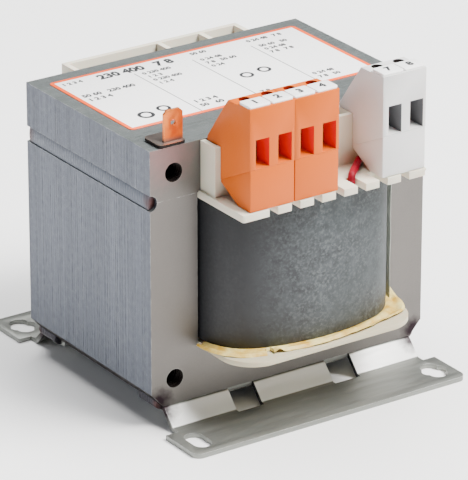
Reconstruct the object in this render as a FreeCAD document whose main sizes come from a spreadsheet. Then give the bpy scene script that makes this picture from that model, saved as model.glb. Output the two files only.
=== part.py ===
import FreeCAD, Part
import math
import os
import re
import Sketcher
from FreeCAD import Placement, Rotation, Vector

# Chassis transformer with a welded core of E and I laminations.
# Frame: X to the right, Y to the back, Z up. The origin lies on the floor, in the middle
# between the four slots of the feet. The terminals stand at the front, on the -Y side.
# Lengths are in millimetres and angles in degrees.

os.makedirs("parts", exist_ok=True)

SIZES = [
    # Core of punched sheets
    ("core_width", "96", "width of the E and I sheets"),
    ("core_height", "80", "E sheet and I sheet together"),
    ("stack_depth", "66", "all sheets pressed together"),
    ("limb_width", "16", "outer limbs and both yokes"),
    ("centre_limb", "32", "width of the limb inside the coil"),
    ("corner_hole", "5.8", "punched hole in each corner of the core"),
    ("hole_inset", "8", "hole centre from the core's edges"),
    ("corner_cut_run", "4", "cut bottom corner of the E sheet, along X"),
    ("corner_cut_rise", "4.5", "cut bottom corner of the E sheet, along Z"),
    ("weld_groove", "2.4", "radius of the round groove at the joint"),
    ("weld_bead", "2.2", "radius of the weld bead's crown"),
    ("weld_sink", "0.7", "crown of the bead below the side face"),
    ("weld_end_gap", "1.2", "bead's end from the core's face"),
    # Bent feet
    ("foot_height", "6.7", "floor to the core's underside"),
    ("foot_sheet", "1.5", "sheet thickness of a foot"),
    ("foot_under", "12", "upper flange under the core"),
    ("web_run", "4.7", "lower bend line from the core's face"),
    ("bend_radius", "1", "inner radius of both bends"),
    ("web_inset", "4.2", "end of the web from the core's side"),
    ("ear_length", "4.2", "end of the foot from the end of the web"),
    ("ear_setback", "2.6", "inner edge of an ear from the bend line"),
    ("foot_corner", "2.5", "rounded outer corner of a foot"),
    ("cutout_width", "9", "opening in the web"),
    ("cutout_offset", "17.2", "opening's centre from the middle of the foot"),
    ("cutout_lead", "1.3", "opening's edge outside the bend line"),
    ("slot_set", "10.3", "slot's centre from the lower bend line"),
    ("slot_margin", "8.2", "foot's outer edge from the slot's centre"),
    ("slot_end_margin", "6", "end of the foot from the slot's centre"),
    ("slot_width", "5.8", "foot slot"),
    ("slot_length", "10", "foot slot, along Y"),
    ("cross_width", "4.8", "second slot of a cross"),
    ("cross_length", "8", "second slot of a cross, along X"),
    ("foot_weld_length", "9", "weld bead between core and foot"),
    ("foot_weld_crown", "1.1", "height of that bead's round outer face"),
    ("foot_weld_rise", "1.9", "bead's reach up the cut corner"),
    ("foot_weld_drop", "1.3", "bead's reach down the flange's end"),
    ("foot_weld_start", "1.2", "bead's start behind the core's face"),
    # Bobbin
    ("limb_play", "0.3", "air between centre limb and bobbin tube"),
    ("tube_wall", "1.5", "wall of the bobbin tube"),
    ("tube_corner", "1.5", "outer corner of the bobbin tube"),
    ("flange_wall", "1.5", "bobbin flanges"),
    ("flange_play", "0.2", "flange's side from the outer limb"),
    ("bobbin_end_play", "0.1", "top flange below the I stack"),
    ("bottom_flange_reach", "22.5", "bottom flange from the core's face"),
    ("bottom_flange_corner", "10.5", "rounded corner of the bottom flange"),
    ("top_flange_reach", "22.9", "top flange from the core's face"),
    ("top_flange_corner", "0.8", "corner of the top flange"),
    ("deck_rise", "0.7", "terminal deck above the top flange"),
    ("deck_gap", "0.3", "deck's inner edge from the core's face"),
    ("comb_width", "3", "wire slot in the top flange"),
    ("comb_depth", "6.6", "wire slot, inwards from the edge"),
    ("comb_shift", "0.26", "wire slot's centre from the border of two poles"),
    ("carrier_wall", "1.6", "carrier wall and its ribs"),
    ("carrier_half", "31", "half length of the carrier wall"),
    ("carrier_height", "15.2", "carrier wall above the deck"),
    ("rib_gap", "0.2", "end of a rib from the core's face"),
    ("rib_left", "1.5", "first middle rib from the middle"),
    ("rib_right", "16.5", "second middle rib from the middle"),
    # Coil
    ("coil_gap", "1", "coil's side from the outer limb"),
    ("primary_layers", "31", "layers of the primary in the window"),
    ("secondary_layers", "29", "layers of the secondary in the window"),
    ("primary_end_build", "7.75", "primary winding outside the core"),
    ("primary_crown", "2.6", "crown of the primary above its corner arcs"),
    ("barrier_thickness", "0.6", "insulation between the windings"),
    ("secondary_end_build", "7.55", "secondary winding outside the core"),
    ("secondary_crown", "2.3", "crown of the secondary above its corner arcs"),
    ("wrap_thickness", "0.6", "outer paper wrap"),
    ("coil_play", "0.1", "coil below the top flange"),
    ("cuff_thickness", "0.8", "folded insulation film on the bottom flange"),
    ("cuff_play", "0.1", "film from the wrap"),
    ("cuff_side", "0.2", "film beside the wrap's widest place"),
    ("cuff_front", "2.6", "film in front of the wrap"),
    ("cuff_corner", "14", "rounded corner of the film"),
    ("cuff_start", "5", "ends of the film from the core's face"),
    ("cuff_notch_set", "0.8", "notch's outer edge from the rounded corner"),
    ("cuff_notch_width", "5", "notch in the film's front edge"),
    ("cuff_notch_depth", "1.3", "notch in the film's front edge"),
    # Terminal blocks
    ("pole_pitch", "7.62", "terminal pitch"),
    ("terminal_shift", "1.2", "middle of the pole row from the middle of the core"),
    ("module_play", "0.1", "gap between two modules"),
    ("seat_play", "0.1", "module from the deck and the carrier wall"),
    ("terminal_set", "0.5", "module's front behind the top flange's edge"),
    ("terminal_depth", "14.7", "module's base, front to back"),
    ("terminal_height", "30.5", "module's top above its flat bottom"),
    ("terminal_top_depth", "11", "flat top, front to back"),
    ("nose_reach", "1.1", "nose over the carrier, from the core's face"),
    ("nose_height", "1.3", "thickness of the nose at its tip"),
    ("parting_front", "12.6", "parting line above the bottom, at the front"),
    ("parting_back", "5.3", "parting line above the bottom, at the back"),
    ("base_back_height", "0.8", "upright back edge of the base"),
    ("base_flat", "5.9", "flat bottom of the base, front to back"),
    ("base_inset", "0.1", "base's sides inside the housing's"),
    ("entry_offset", "2", "wire entry from the pole's left edge"),
    ("entry_width", "4.6", "wire entry"),
    ("entry_height", "8.6", "wire entry"),
    ("entry_sill", "12.9", "wire entry's floor above the bottom"),
    ("entry_depth", "13", "wire entry, front to back"),
    ("screw_reach", "9", "clamp screw's axis from the module's front"),
    ("screw_hole", "3.4", "hole over the clamp screw"),
    ("screw_head", "3.2", "head of the clamp screw"),
    ("screw_head_height", "1.6", "head of the clamp screw"),
    ("screw_slot", "0.6", "slot of the clamp screw, width and depth"),
    ("screw_stem", "2.4", "thread of the clamp screw"),
    ("screw_lift", "1", "head's underside above the wire entry"),
    ("screw_length", "5.4", "thread below the head"),
    ("thread_play", "0.05", "thread from its hole"),
    ("cage_play", "0.1", "clamp cage from the walls of its entry"),
    ("cage_depth", "6", "clamp cage, front to back"),
    ("cage_wall", "0.8", "sheet of the clamp cage"),
    ("pin_side", "1", "square solder pin"),
    ("pin_play", "0.1", "solder pin from its hole"),
    ("pin_clear", "0.3", "solder pin's end above the deck"),
    ("rail_height", "0.4", "raised rail under the marker tags"),
    ("rail_depth", "6.2", "that rail, front to back"),
    ("tag_set", "0.4", "tag's front behind the module's front"),
    ("tag_width", "7.2", "marker tag"),
    ("tag_depth", "5.4", "marker tag"),
    ("tag_thickness", "0.8", "marker tag"),
    ("tag_corner", "0.6", "marker tag's upright corners"),
    ("tag_bevel", "0.4", "sloped upper front edge of a tag"),
    # Earth tab, label and lead
    ("tab_sheet", "0.8", "sheet of the earth tab"),
    ("tab_width", "6.3", "blade of the earth tab"),
    ("tab_height", "10.3", "blade's top above the core"),
    ("tab_left", "5.6", "blade's left edge from the core's side"),
    ("tab_set", "1.1", "blade's front from the core's face"),
    ("tab_point", "1.1", "cut corner at the blade's top"),
    ("tab_hole", "1.8", "hole in the blade"),
    ("tab_hole_height", "6.4", "that hole above the core"),
    ("tab_bend", "0.9", "bend between blade and plate"),
    ("plate_left", "3.2", "plate's left edge from the core's side"),
    ("plate_width", "9.2", "plate of the earth tab"),
    ("plate_overhang", "0.3", "plate in front of the core's face"),
    ("plate_depth", "8.8", "plate of the earth tab"),
    ("plate_corner", "1.6", "plate's corner"),
    ("label_thickness", "0.2", "printed label"),
    ("label_inset", "4.5", "label's ends from the core's sides"),
    ("label_front", "16.5", "label's front from the core's face"),
    ("label_depth", "44.5", "label, front to back"),
    ("label_corner", "1.5", "label's corner"),
    ("lead_diameter", "2.2", "red sleeve of the lead"),
    ("lead_lift", "0.2", "lead above the deck"),
    ("lead_sink", "1.3", "lead's start below the top flange's upper side"),
    ("lead_tuck", "1.6", "lead's end under the grey module, from the pole's edge"),
    ("lead_play", "0.3", "lead from the carrier wall"),
]

doc = FreeCAD.newDocument("chassis_transformer")
sheet = doc.addObject("Spreadsheet::Sheet", "sizes")
for row, (alias, value, note) in enumerate(SIZES, start=1):
    sheet.set(f"A{row}", note)
    sheet.set(f"B{row}", value)
    sheet.setAlias(f"B{row}", alias)
doc.recompute()

ALIASES = re.compile(r"\b(" + "|".join(alias for alias, value, note in SIZES) + r")\b")
THROUGH = "1000"


def formula(text):
    """Writes the sheet's name before each alias."""
    return ALIASES.sub(r"sizes.\1", text)


def number(text):
    """The present value of an expression, for first positions and for picking edges."""
    return float(sheet.evalExpression(formula(text)))


def bind(thing, place, text):
    thing.setExpression(place, formula(text))


def new_body(name):
    body = doc.addObject("PartDesign::Body", name)
    body.Label = name
    return body


def new_sketch(body, role, offset="0"):
    """A sketch on one of the body's own planes, moved along the plane's normal."""
    plane = [item for item in body.Origin.OriginFeatures if item.Role == role][0]
    sketch = body.newObject("Sketcher::SketchObject", body.Name + "_sketch")
    sketch.AttachmentSupport = (plane, [""])
    sketch.MapMode = "FlatFace"
    bind(sketch, "AttachmentOffset.Base.z", offset)
    return sketch


def place_point(sketch, edge, end, x, y):
    """Ties one point of a sketch to two expressions."""
    for kind, axis, text in (("DistanceX", -2, x), ("DistanceY", -1, y)):
        if text == "0":
            sketch.addConstraint(Sketcher.Constraint("PointOnObject", edge, end, axis))
        else:
            index = sketch.addConstraint(Sketcher.Constraint(kind, -1, 1, edge, end, number(text)))
            bind(sketch, f"Constraints[{index}]", text)


def set_radius(sketch, edge, text):
    index = sketch.addConstraint(Sketcher.Constraint("Radius", edge, number(text)))
    bind(sketch, f"Constraints[{index}]", text)


def arc_between(first, last, radius, turn):
    """An arc of less than half a turn; turn is 1 for anticlockwise and -1 for clockwise."""
    middle = (first + last) * 0.5
    chord = last - first
    height = math.sqrt(max(radius ** 2 - (chord.Length / 2) ** 2, 0))
    side = Vector(-chord.y, chord.x, 0).normalize()
    centre = middle + side * height * turn
    start, end = (first, last) if turn > 0 else (last, first)
    begin = math.atan2(start.y - centre.y, start.x - centre.x)
    finish = math.atan2(end.y - centre.y, end.x - centre.x)
    return Part.ArcOfCircle(Part.Circle(centre, Vector(0, 0, 1), radius), begin, finish)


def draw_outline(sketch, corners):
    """A closed outline. A corner is (x, y), or (x, y, radius, turn) where an arc leaves it."""
    points = [Vector(number(corner[0]), number(corner[1]), 0) for corner in corners]
    first_edge = sketch.GeometryCount
    ends = []
    for index, corner in enumerate(corners):
        start = points[index]
        finish = points[(index + 1) % len(points)]
        if len(corner) == 2:
            edge = sketch.addGeometry(Part.LineSegment(start, finish))
            ends.append((edge, 1, 2))
        else:
            radius, turn = corner[2:]
            edge = sketch.addGeometry(arc_between(start, finish, number(radius), turn))
            ends.append((edge, 1, 2) if turn > 0 else (edge, 2, 1))
            set_radius(sketch, edge, radius)
    for index, (edge, start, finish) in enumerate(ends):
        following = ends[(index + 1) % len(ends)]
        sketch.addConstraint(Sketcher.Constraint("Coincident", edge, finish, following[0], following[1]))
        place_point(sketch, edge, start, corners[index][0], corners[index][1])
    return first_edge


def draw_rectangle(sketch, left, right, front, back):
    draw_outline(sketch, [(left, front), (right, front), (right, back), (left, back)])


def draw_round_rectangle(sketch, half_x, half_y, radius):
    """A rectangle round the origin with rounded corners."""
    near_x = f"({half_x} - {radius})"
    near_y = f"({half_y} - {radius})"
    draw_outline(sketch, [
        (f"-{near_x}", f"-{half_y}"),
        (near_x, f"-{half_y}", radius, 1),
        (half_x, f"-{near_y}"),
        (half_x, near_y, radius, 1),
        (near_x, half_y),
        (f"-{near_x}", half_y, radius, 1),
        (f"-{half_x}", near_y),
        (f"-{half_x}", f"-{near_y}", radius, 1),
    ])


def draw_circle(sketch, x, y, diameter):
    centre = Vector(number(x), number(y), 0)
    edge = sketch.addGeometry(Part.Circle(centre, Vector(0, 0, 1), number(diameter) / 2))
    place_point(sketch, edge, 3, x, y)
    index = sketch.addConstraint(Sketcher.Constraint("Diameter", edge, number(diameter)))
    bind(sketch, f"Constraints[{index}]", diameter)


def draw_slot(sketch, x, y, length, width, along):
    """A slot with round ends; along is "x" or "y"."""
    radius = f"({width} / 2)"
    reach = f"({length} / 2 - {radius})"
    step = Vector(1, 0, 0) if along == "x" else Vector(0, 1, 0)
    side = Vector(-step.y, step.x, 0)
    centre = Vector(number(x), number(y), 0)
    far = centre + step * number(reach)
    near = centre - step * number(reach)
    size = number(radius)
    turn = math.atan2(step.y, step.x)
    far_arc = sketch.addGeometry(Part.ArcOfCircle(
        Part.Circle(far, Vector(0, 0, 1), size), turn - math.pi / 2, turn + math.pi / 2))
    upper = sketch.addGeometry(Part.LineSegment(far + side * size, near + side * size))
    near_arc = sketch.addGeometry(Part.ArcOfCircle(
        Part.Circle(near, Vector(0, 0, 1), size), turn + math.pi / 2, turn + math.pi * 1.5))
    lower = sketch.addGeometry(Part.LineSegment(near - side * size, far - side * size))
    chain = [far_arc, upper, near_arc, lower]
    for index, edge in enumerate(chain):
        sketch.addConstraint(Sketcher.Constraint("Tangent", edge, 2, chain[(index + 1) % 4], 1))
    for arc, sign in ((far_arc, "+"), (near_arc, "-")):
        arc_x = f"{x} {sign} {reach}" if along == "x" else x
        arc_y = f"{y} {sign} {reach}" if along == "y" else y
        place_point(sketch, arc, 3, arc_x, arc_y)
        set_radius(sketch, arc, radius)


def pad(body, sketch, length, symmetric=False, reverse=False):
    feature = body.newObject("PartDesign::Pad", body.Name + "_pad")
    feature.Profile = sketch
    bind(feature, "Length", length)
    feature.SideType = "Symmetric" if symmetric else "One side"
    feature.Reversed = reverse
    sketch.Visibility = False
    return feature


def pocket(body, sketch, length, symmetric=False, reverse=False):
    """A cut from the sketch; the volume shows that it took something away."""
    doc.recompute()
    before = body.Shape.Volume
    feature = body.newObject("PartDesign::Pocket", body.Name + "_pocket")
    feature.Profile = sketch
    bind(feature, "Length", length)
    feature.SideType = "Symmetric" if symmetric else "One side"
    feature.Reversed = reverse
    doc.recompute()
    if body.Shape.Volume > before - 1e-3:
        raise RuntimeError(body.Name + " has a cut that takes nothing away")
    return feature


def dress(body, kind, size, wanted):
    """A fillet or chamfer on the edges of the body that the test picks."""
    doc.recompute()
    base = body.Tip
    names = [f"Edge{index}" for index, edge in enumerate(base.Shape.Edges, start=1) if wanted(edge)]
    feature = body.newObject("PartDesign::" + kind, body.Name + "_" + kind.lower())
    feature.Base = (base, names)
    bind(feature, "Radius" if kind == "Fillet" else "Size", size)
    return feature


def is_upright(edge):
    box = edge.BoundBox
    return box.ZLength > 1e-3 and box.XLength < 1e-6 and box.YLength < 1e-6


def runs_along_x(edge):
    box = edge.BoundBox
    return box.XLength > 1e-3 and box.YLength < 1e-6 and box.ZLength < 1e-6


def near(value, text):
    return abs(value - number(text)) < 1e-4


# Places that several pieces share
half_core = "(core_width / 2)"
half_stack = "(stack_depth / 2)"
core_bottom = "foot_height"
joint_level = "(foot_height + core_height - limb_width)"
core_top = "(foot_height + core_height)"
half_window = f"({half_core} - limb_width)"
half_limb = "(centre_limb / 2)"
bobbin_bottom = "(foot_height + limb_width)"
coil_bottom = f"({bobbin_bottom} + flange_wall)"
top_flange_top = f"({joint_level} - bobbin_end_play)"
top_flange_bottom = f"({top_flange_top} - flange_wall)"
coil_height = f"({top_flange_bottom} - coil_play - {coil_bottom})"
deck_top = f"({top_flange_top} + deck_rise)"
FRONT = "-"
BACK = "+"


def outward(side, distance):
    """Y of a point that stands a distance out from the core's front or back face."""
    return f"{side}({half_stack} + {distance})" if side == FRONT else f"({half_stack} + {distance})"


# Core: one stack of E sheets below, one stack of I sheets on its open ends

def e_lamination_stack():
    body = new_body("e_lamination_stack")
    sketch = new_sketch(body, "XZ_Plane")
    draw_outline(sketch, [
        (f"-({half_core} - corner_cut_run)", core_bottom),
        (f"{half_core} - corner_cut_run", core_bottom),
        (half_core, f"{core_bottom} + corner_cut_rise"),
        (half_core, f"{joint_level} - weld_groove", "weld_groove", -1),
        (f"{half_core} - weld_groove", joint_level),
        (half_window, joint_level),
        (half_window, bobbin_bottom),
        (half_limb, bobbin_bottom),
        (half_limb, joint_level),
        (f"-{half_limb}", joint_level),
        (f"-{half_limb}", bobbin_bottom),
        (f"-{half_window}", bobbin_bottom),
        (f"-{half_window}", joint_level),
        (f"-({half_core} - weld_groove)", joint_level, "weld_groove", -1),
        (f"-{half_core}", f"{joint_level} - weld_groove"),
        (f"-{half_core}", f"{core_bottom} + corner_cut_rise"),
    ])
    for side in ("-", ""):
        draw_circle(sketch, f"{side}({half_core} - hole_inset)", f"{core_bottom} + hole_inset", "corner_hole")
    pad(body, sketch, "stack_depth", symmetric=True)
    return body


def i_lamination_stack():
    body = new_body("i_lamination_stack")
    sketch = new_sketch(body, "XZ_Plane")
    draw_outline(sketch, [
        (f"-({half_core} - weld_groove)", joint_level),
        (f"{half_core} - weld_groove", joint_level, "weld_groove", -1),
        (half_core, f"{joint_level} + weld_groove"),
        (half_core, core_top),
        (f"-{half_core}", core_top),
        (f"-{half_core}", f"{joint_level} + weld_groove", "weld_groove", -1),
    ])
    for side in ("-", ""):
        draw_circle(sketch, f"{side}({half_core} - hole_inset)", f"{core_top} - hole_inset", "corner_hole")
    pad(body, sketch, "stack_depth", symmetric=True)
    return body


def rod_along_y(name, x, z, radius, length):
    """A cylinder along Y, centred on the middle plane."""
    rod = doc.addObject("Part::Cylinder", name)
    rod.Placement = Placement(Vector(), Rotation(Vector(1, 0, 0), 90))
    bind(rod, "Placement.Base.x", x)
    bind(rod, "Placement.Base.y", f"({length}) / 2")
    bind(rod, "Placement.Base.z", z)
    bind(rod, "Radius", radius)
    bind(rod, "Height", length)
    return rod


def joint_weld(name, sign):
    """Weld bead that fills the bottom of the round groove between E and I sheets."""
    length = "stack_depth - 2 * weld_end_gap"
    groove = rod_along_y(name + "_groove", f"{sign}{half_core}", joint_level, "weld_groove", length)
    crown = f"{sign}({half_core} - weld_sink - weld_bead)"
    bead = rod_along_y(name + "_bead", crown, joint_level, "weld_bead", length)
    weld = doc.addObject("Part::Common", name)
    weld.Base = groove
    weld.Tool = bead
    return weld


# Feet: bent sheet, welded under the core

web_rise = "(foot_height - foot_sheet)"
mitre = f"(foot_sheet * (sqrt(web_run^2 + {web_rise}^2) - web_run) / {web_rise})"
foot_reach = "(web_run + slot_set + slot_margin)"
web_end = f"({half_core} - web_inset)"
foot_end = f"({web_end} + ear_length)"
slot_x = f"({foot_end} - slot_end_margin)"


def foot_bracket(name, side):
    body = new_body(name)
    profile = new_sketch(body, "YZ_Plane")
    draw_outline(profile, [
        (outward(side, foot_reach), "0"),
        (outward(side, foot_reach), "foot_sheet"),
        (outward(side, "web_run"), "foot_sheet"),
        (outward(side, "0"), "foot_height"),
        (outward(side, "(-foot_under)"), "foot_height"),
        (outward(side, "(-foot_under)"), "foot_height - foot_sheet"),
        (outward(side, f"(-{mitre})"), "foot_height - foot_sheet"),
        (outward(side, f"(web_run - {mitre})"), "0"),
    ])
    pad(body, profile, f"2 * {foot_end}", symmetric=True)
    inner = [("web_run", "foot_sheet"), (f"(-{mitre})", "foot_height - foot_sheet")]
    outer = [(f"(web_run - {mitre})", "0"), ("0", "foot_height")]
    for places, radius in ((inner, "bend_radius"), (outer, "bend_radius + foot_sheet")):
        spots = [(number(outward(side, y)), number(z)) for y, z in places]

        def on_bend(edge, spots=spots):
            middle = edge.CenterOfMass
            return runs_along_x(edge) and any(
                abs(middle.y - y) < 1e-4 and abs(middle.z - z) < 1e-4 for y, z in spots)

        dress(body, "Fillet", radius, on_bend)
    # The web is shorter than the flange, which leaves an ear at each end
    ears = new_sketch(body, "XY_Plane")
    ear_edge = outward(side, "web_run + ear_setback")
    past_flange = outward(side, "(-foot_under) - foot_sheet")
    low, high = (ear_edge, past_flange) if side == FRONT else (past_flange, ear_edge)
    draw_rectangle(ears, f"-({foot_end} + foot_sheet)", f"-{web_end}", low, high)
    draw_rectangle(ears, web_end, f"{foot_end} + foot_sheet", low, high)
    pocket(body, ears, THROUGH, symmetric=True)
    # Two openings in the web
    openings = new_sketch(body, "XY_Plane")
    outer_edge = outward(side, "web_run + cutout_lead")
    inner_edge = outward(side, f"(-{mitre})")
    low, high = (outer_edge, inner_edge) if side == FRONT else (inner_edge, outer_edge)
    for sign in ("-", ""):
        left = f"{sign}cutout_offset - cutout_width / 2"
        right = f"{sign}cutout_offset + cutout_width / 2"
        draw_rectangle(openings, left, right, low, high)
    pocket(body, openings, THROUGH, symmetric=True)
    # A plain slot at one end and a cross of two slots at the other
    slots = new_sketch(body, "XY_Plane")
    row = outward(side, "web_run + slot_set")
    for sign in ("-", ""):
        draw_slot(slots, f"{sign}{slot_x}", row, "slot_length", "slot_width", "y")
    pocket(body, slots, THROUGH, symmetric=True)
    cross = new_sketch(body, "XY_Plane")
    cross_sign = "" if side == FRONT else "-"
    draw_slot(cross, f"{cross_sign}{slot_x}", row, "cross_length", "cross_width", "x")
    pocket(body, cross, THROUGH, symmetric=True)

    def outer_corner(edge):
        return is_upright(edge) and abs(abs(edge.CenterOfMass.x) - number(foot_end)) < 1e-4

    dress(body, "Fillet", "foot_corner", lambda edge: outer_corner(edge)
          and near(abs(edge.CenterOfMass.y), f"{half_stack} + {foot_reach}"))
    return body


def foot_weld(name, side, sign):
    """Bead between the cut corner of the core and the end of the foot's upper flange."""
    body = new_body(name)
    sketch = new_sketch(body, "XZ_Plane")
    share = "(foot_weld_rise / corner_cut_rise)"
    on_cut = f"({half_core} - corner_cut_run * (1 - {share}))"
    corner = f"({half_core} - corner_cut_run)"
    half_chord = f"(sqrt(({on_cut} - {web_end})^2 + (foot_weld_drop + foot_weld_rise)^2) / 2)"
    face_radius = f"(({half_chord}^2 + foot_weld_crown^2) / (2 * foot_weld_crown))"
    turn = 1 if sign == "" else -1
    draw_outline(sketch, [
        (f"{sign}{web_end}", f"{core_bottom} - foot_weld_drop", face_radius, turn),
        (f"{sign}{on_cut}", f"{core_bottom} + foot_weld_rise"),
        (f"{sign}{corner}", core_bottom),
        (f"{sign}{web_end}", core_bottom),
    ])
    start = "foot_weld_start"
    if side == FRONT:
        bind(sketch, "AttachmentOffset.Base.z", f"{half_stack} - {start} - foot_weld_length")
    else:
        bind(sketch, "AttachmentOffset.Base.z", f"-({half_stack} - {start})")
    pad(body, sketch, "foot_weld_length")
    return body


# Row of terminal poles; the wire slots of the bobbin lie between their places

POLE_PLACES = 8
row_start = f"(terminal_shift - {POLE_PLACES} * pole_pitch / 2)"


def pole_left(position):
    return f"({row_start} + {position} * pole_pitch)"


def pole_middle(position):
    return f"({pole_left(position)} + entry_offset + entry_width / 2)"


def comb_middle(index):
    """X of a wire slot's centre, at the border between two pole places."""
    return f"({pole_left(index + 1)} + comb_shift)"


# Bobbin: tube, two flanges and the carrier walls for the terminals, moulded in one piece

tube_x = f"({half_limb} + limb_play + tube_wall)"
tube_y = f"({half_stack} + limb_play + tube_wall)"
flange_half = f"({half_window} - flange_play)"


def flange(body, level, thickness, reach, corner):
    sketch = new_sketch(body, "XY_Plane", level)
    draw_round_rectangle(sketch, flange_half, f"({half_stack} + {reach})", corner)
    pad(body, sketch, thickness)


terminal_reach = "(top_flange_reach - terminal_set)"
carrier_reach = f"({terminal_reach} - terminal_depth - seat_play)"


def carrier_walls(body, side):
    """Low wall in front of the I stack with ribs that reach back to it."""
    deck = new_sketch(body, "XY_Plane", top_flange_top)
    low, high = outward(side, "top_flange_reach"), outward(side, "deck_gap")
    if side == BACK:
        low, high = high, low
    draw_rectangle(deck, f"-{flange_half}", flange_half, low, high)
    pad(body, deck, "deck_rise")
    wall = new_sketch(body, "XY_Plane", deck_top)
    tip = outward(side, "rib_gap")
    inner = outward(side, f"{carrier_reach} - carrier_wall")
    outer = outward(side, carrier_reach)
    lefts = ["(-carrier_half)", "rib_left", "rib_right", "(carrier_half - carrier_wall)"]
    corners = []
    for index, left in enumerate(lefts):
        right = f"{left} + carrier_wall"
        rib = [(left, tip), (right, tip)]
        if index > 0:
            rib.insert(0, (left, inner))
        if index < len(lefts) - 1:
            rib.append((right, inner))
        corners += rib
    corners += [("carrier_half", outer), ("-carrier_half", outer)]
    draw_outline(wall, corners)
    pad(body, wall, "carrier_height")


def bobbin():
    body = new_body("bobbin")
    flange(body, bobbin_bottom, "flange_wall", "bottom_flange_reach", "bottom_flange_corner")
    tube = new_sketch(body, "XY_Plane", coil_bottom)
    draw_round_rectangle(tube, tube_x, tube_y, "tube_corner")
    pad(body, tube, f"{top_flange_bottom} - {coil_bottom}")
    flange(body, top_flange_bottom, "flange_wall", "top_flange_reach", "top_flange_corner")
    for side in (FRONT, BACK):
        carrier_walls(body, side)
    limb = new_sketch(body, "XY_Plane")
    inside_x = f"({half_limb} + limb_play)"
    inside_y = f"({half_stack} + limb_play)"
    draw_rectangle(limb, f"-{inside_x}", inside_x, f"-{inside_y}", inside_y)
    pocket(body, limb, THROUGH, symmetric=True)
    comb = new_sketch(body, "XY_Plane", f"{deck_top} + flange_wall")
    front_edge = outward(FRONT, "top_flange_reach + flange_wall")
    slot_end = outward(FRONT, "top_flange_reach - comb_depth")
    for index in range(POLE_PLACES - 1):
        middle = comb_middle(index)
        draw_rectangle(comb, f"{middle} - comb_width / 2", f"{middle} + comb_width / 2", front_edge, slot_end)
    pocket(body, comb, "deck_rise + 3 * flange_wall")
    return body


# Coil: windings with the insulation between and round them

def draw_coil_outline(sketch, half_x, end_build, crown):
    """Straight sides in the window, and a three-centred arch over each end of the core.

    end_build is the arch's height outside the core and crown is what the wide middle arc
    stands beyond the round corner arcs, so the corner's radius is end_build - crown.
    """
    corner = f"({end_build} - {crown})"
    corner_x = f"({half_x} - {corner})"
    wide = f"(({half_x}^2 + {end_build}^2 - 2 * {half_x} * {corner}) / (2 * {crown}))"
    drop = f"({wide} - {end_build})"
    reach = f"({wide} - {corner})"
    meet_x = f"({corner_x} + {corner} * {corner_x} / {reach})"
    meet_y = f"({half_stack} + {corner} * {drop} / {reach})"
    draw_outline(sketch, [
        (half_x, f"-{half_stack}"),
        (half_x, half_stack, corner, 1),
        (meet_x, meet_y, wide, 1),
        (f"-{meet_x}", meet_y, corner, 1),
        (f"-{half_x}", half_stack),
        (f"-{half_x}", f"-{half_stack}", corner, 1),
        (f"-{meet_x}", f"-{meet_y}", wide, 1),
        (meet_x, f"-{meet_y}", corner, 1),
    ])


tube_end = "(limb_play + tube_wall)"
winding_room = f"({half_window} - coil_gap - {tube_x} - barrier_thickness - wrap_thickness)"
layer = f"({winding_room} / (primary_layers + secondary_layers))"
primary = (f"({tube_x} + primary_layers * {layer})", f"({tube_end} + primary_end_build)",
           "primary_crown")
barrier = (f"({primary[0]} + barrier_thickness)", f"({primary[1]} + barrier_thickness)", "primary_crown")
secondary = (f"({barrier[0]} + secondary_layers * {layer})",
             f"({barrier[1]} + secondary_end_build)", "secondary_crown")
wrap = (f"({secondary[0]} + wrap_thickness)", f"({secondary[1]} + wrap_thickness)", "secondary_crown")


def coil_layer(name, outline, inside):
    """A layer of the coil; inside is the outline that it is wound on, or None for the tube."""
    body = new_body(name)
    sketch = new_sketch(body, "XY_Plane", coil_bottom)
    draw_coil_outline(sketch, *outline)
    if inside is None:
        draw_round_rectangle(sketch, tube_x, tube_y, "tube_corner")
    else:
        draw_coil_outline(sketch, *inside)
    pad(body, sketch, coil_height)
    return body


# Insulation film folded out on the bottom flange, in front of the coil

def insulation_cuff():
    body = new_body("insulation_cuff")
    side = f"({wrap[0]} + cuff_side)"
    reach = f"{wrap[1]} + cuff_front"
    front = outward(FRONT, reach)
    start = outward(FRONT, "cuff_start")
    corner_x = f"({side} - cuff_corner)"
    corner_y = outward(FRONT, f"{reach} - cuff_corner")
    notch_outer = f"({corner_x} - cuff_notch_set)"
    notch_inner = f"({notch_outer} - cuff_notch_width)"
    notch_bottom = outward(FRONT, f"{reach} - cuff_notch_depth")
    sketch = new_sketch(body, "XY_Plane", coil_bottom)
    draw_outline(sketch, [
        (f"-{side}", start),
        (f"-{side}", corner_y, "cuff_corner", 1),
        (f"-{corner_x}", front),
        (f"-{notch_outer}", front),
        (f"-{notch_outer}", notch_bottom),
        (f"-{notch_inner}", notch_bottom),
        (f"-{notch_inner}", front),
        (corner_x, front, "cuff_corner", 1),
        (side, corner_y),
        (side, start),
    ])
    pad(body, sketch, "cuff_thickness")
    inner = new_sketch(body, "XY_Plane", f"{coil_bottom} + cuff_thickness + cuff_play")
    draw_coil_outline(inner, f"({wrap[0]} + cuff_play)", f"({wrap[1]} + cuff_play)", wrap[2])
    pocket(body, inner, "cuff_thickness + 3 * cuff_play")
    return body


# Terminal modules of two poles each, clipped on the carrier wall

MODULES = [("orange_left", 0), ("orange_right", 2), ("grey", 6)]
POLES_PER_MODULE = 2
module_bottom = f"({deck_top} + seat_play)"
module_back = f"({carrier_reach} + seat_play)"
wall_top = f"({deck_top} + carrier_height)"
module_front = outward(FRONT, terminal_reach)
screw_y = outward(FRONT, f"{terminal_reach} - screw_reach")
entry_floor = f"({module_bottom} + entry_sill)"
entry_ceiling = f"({entry_floor} + entry_height)"
module_top = f"({module_bottom} + terminal_height)"
rail_top = f"({module_top} + rail_height)"


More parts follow.
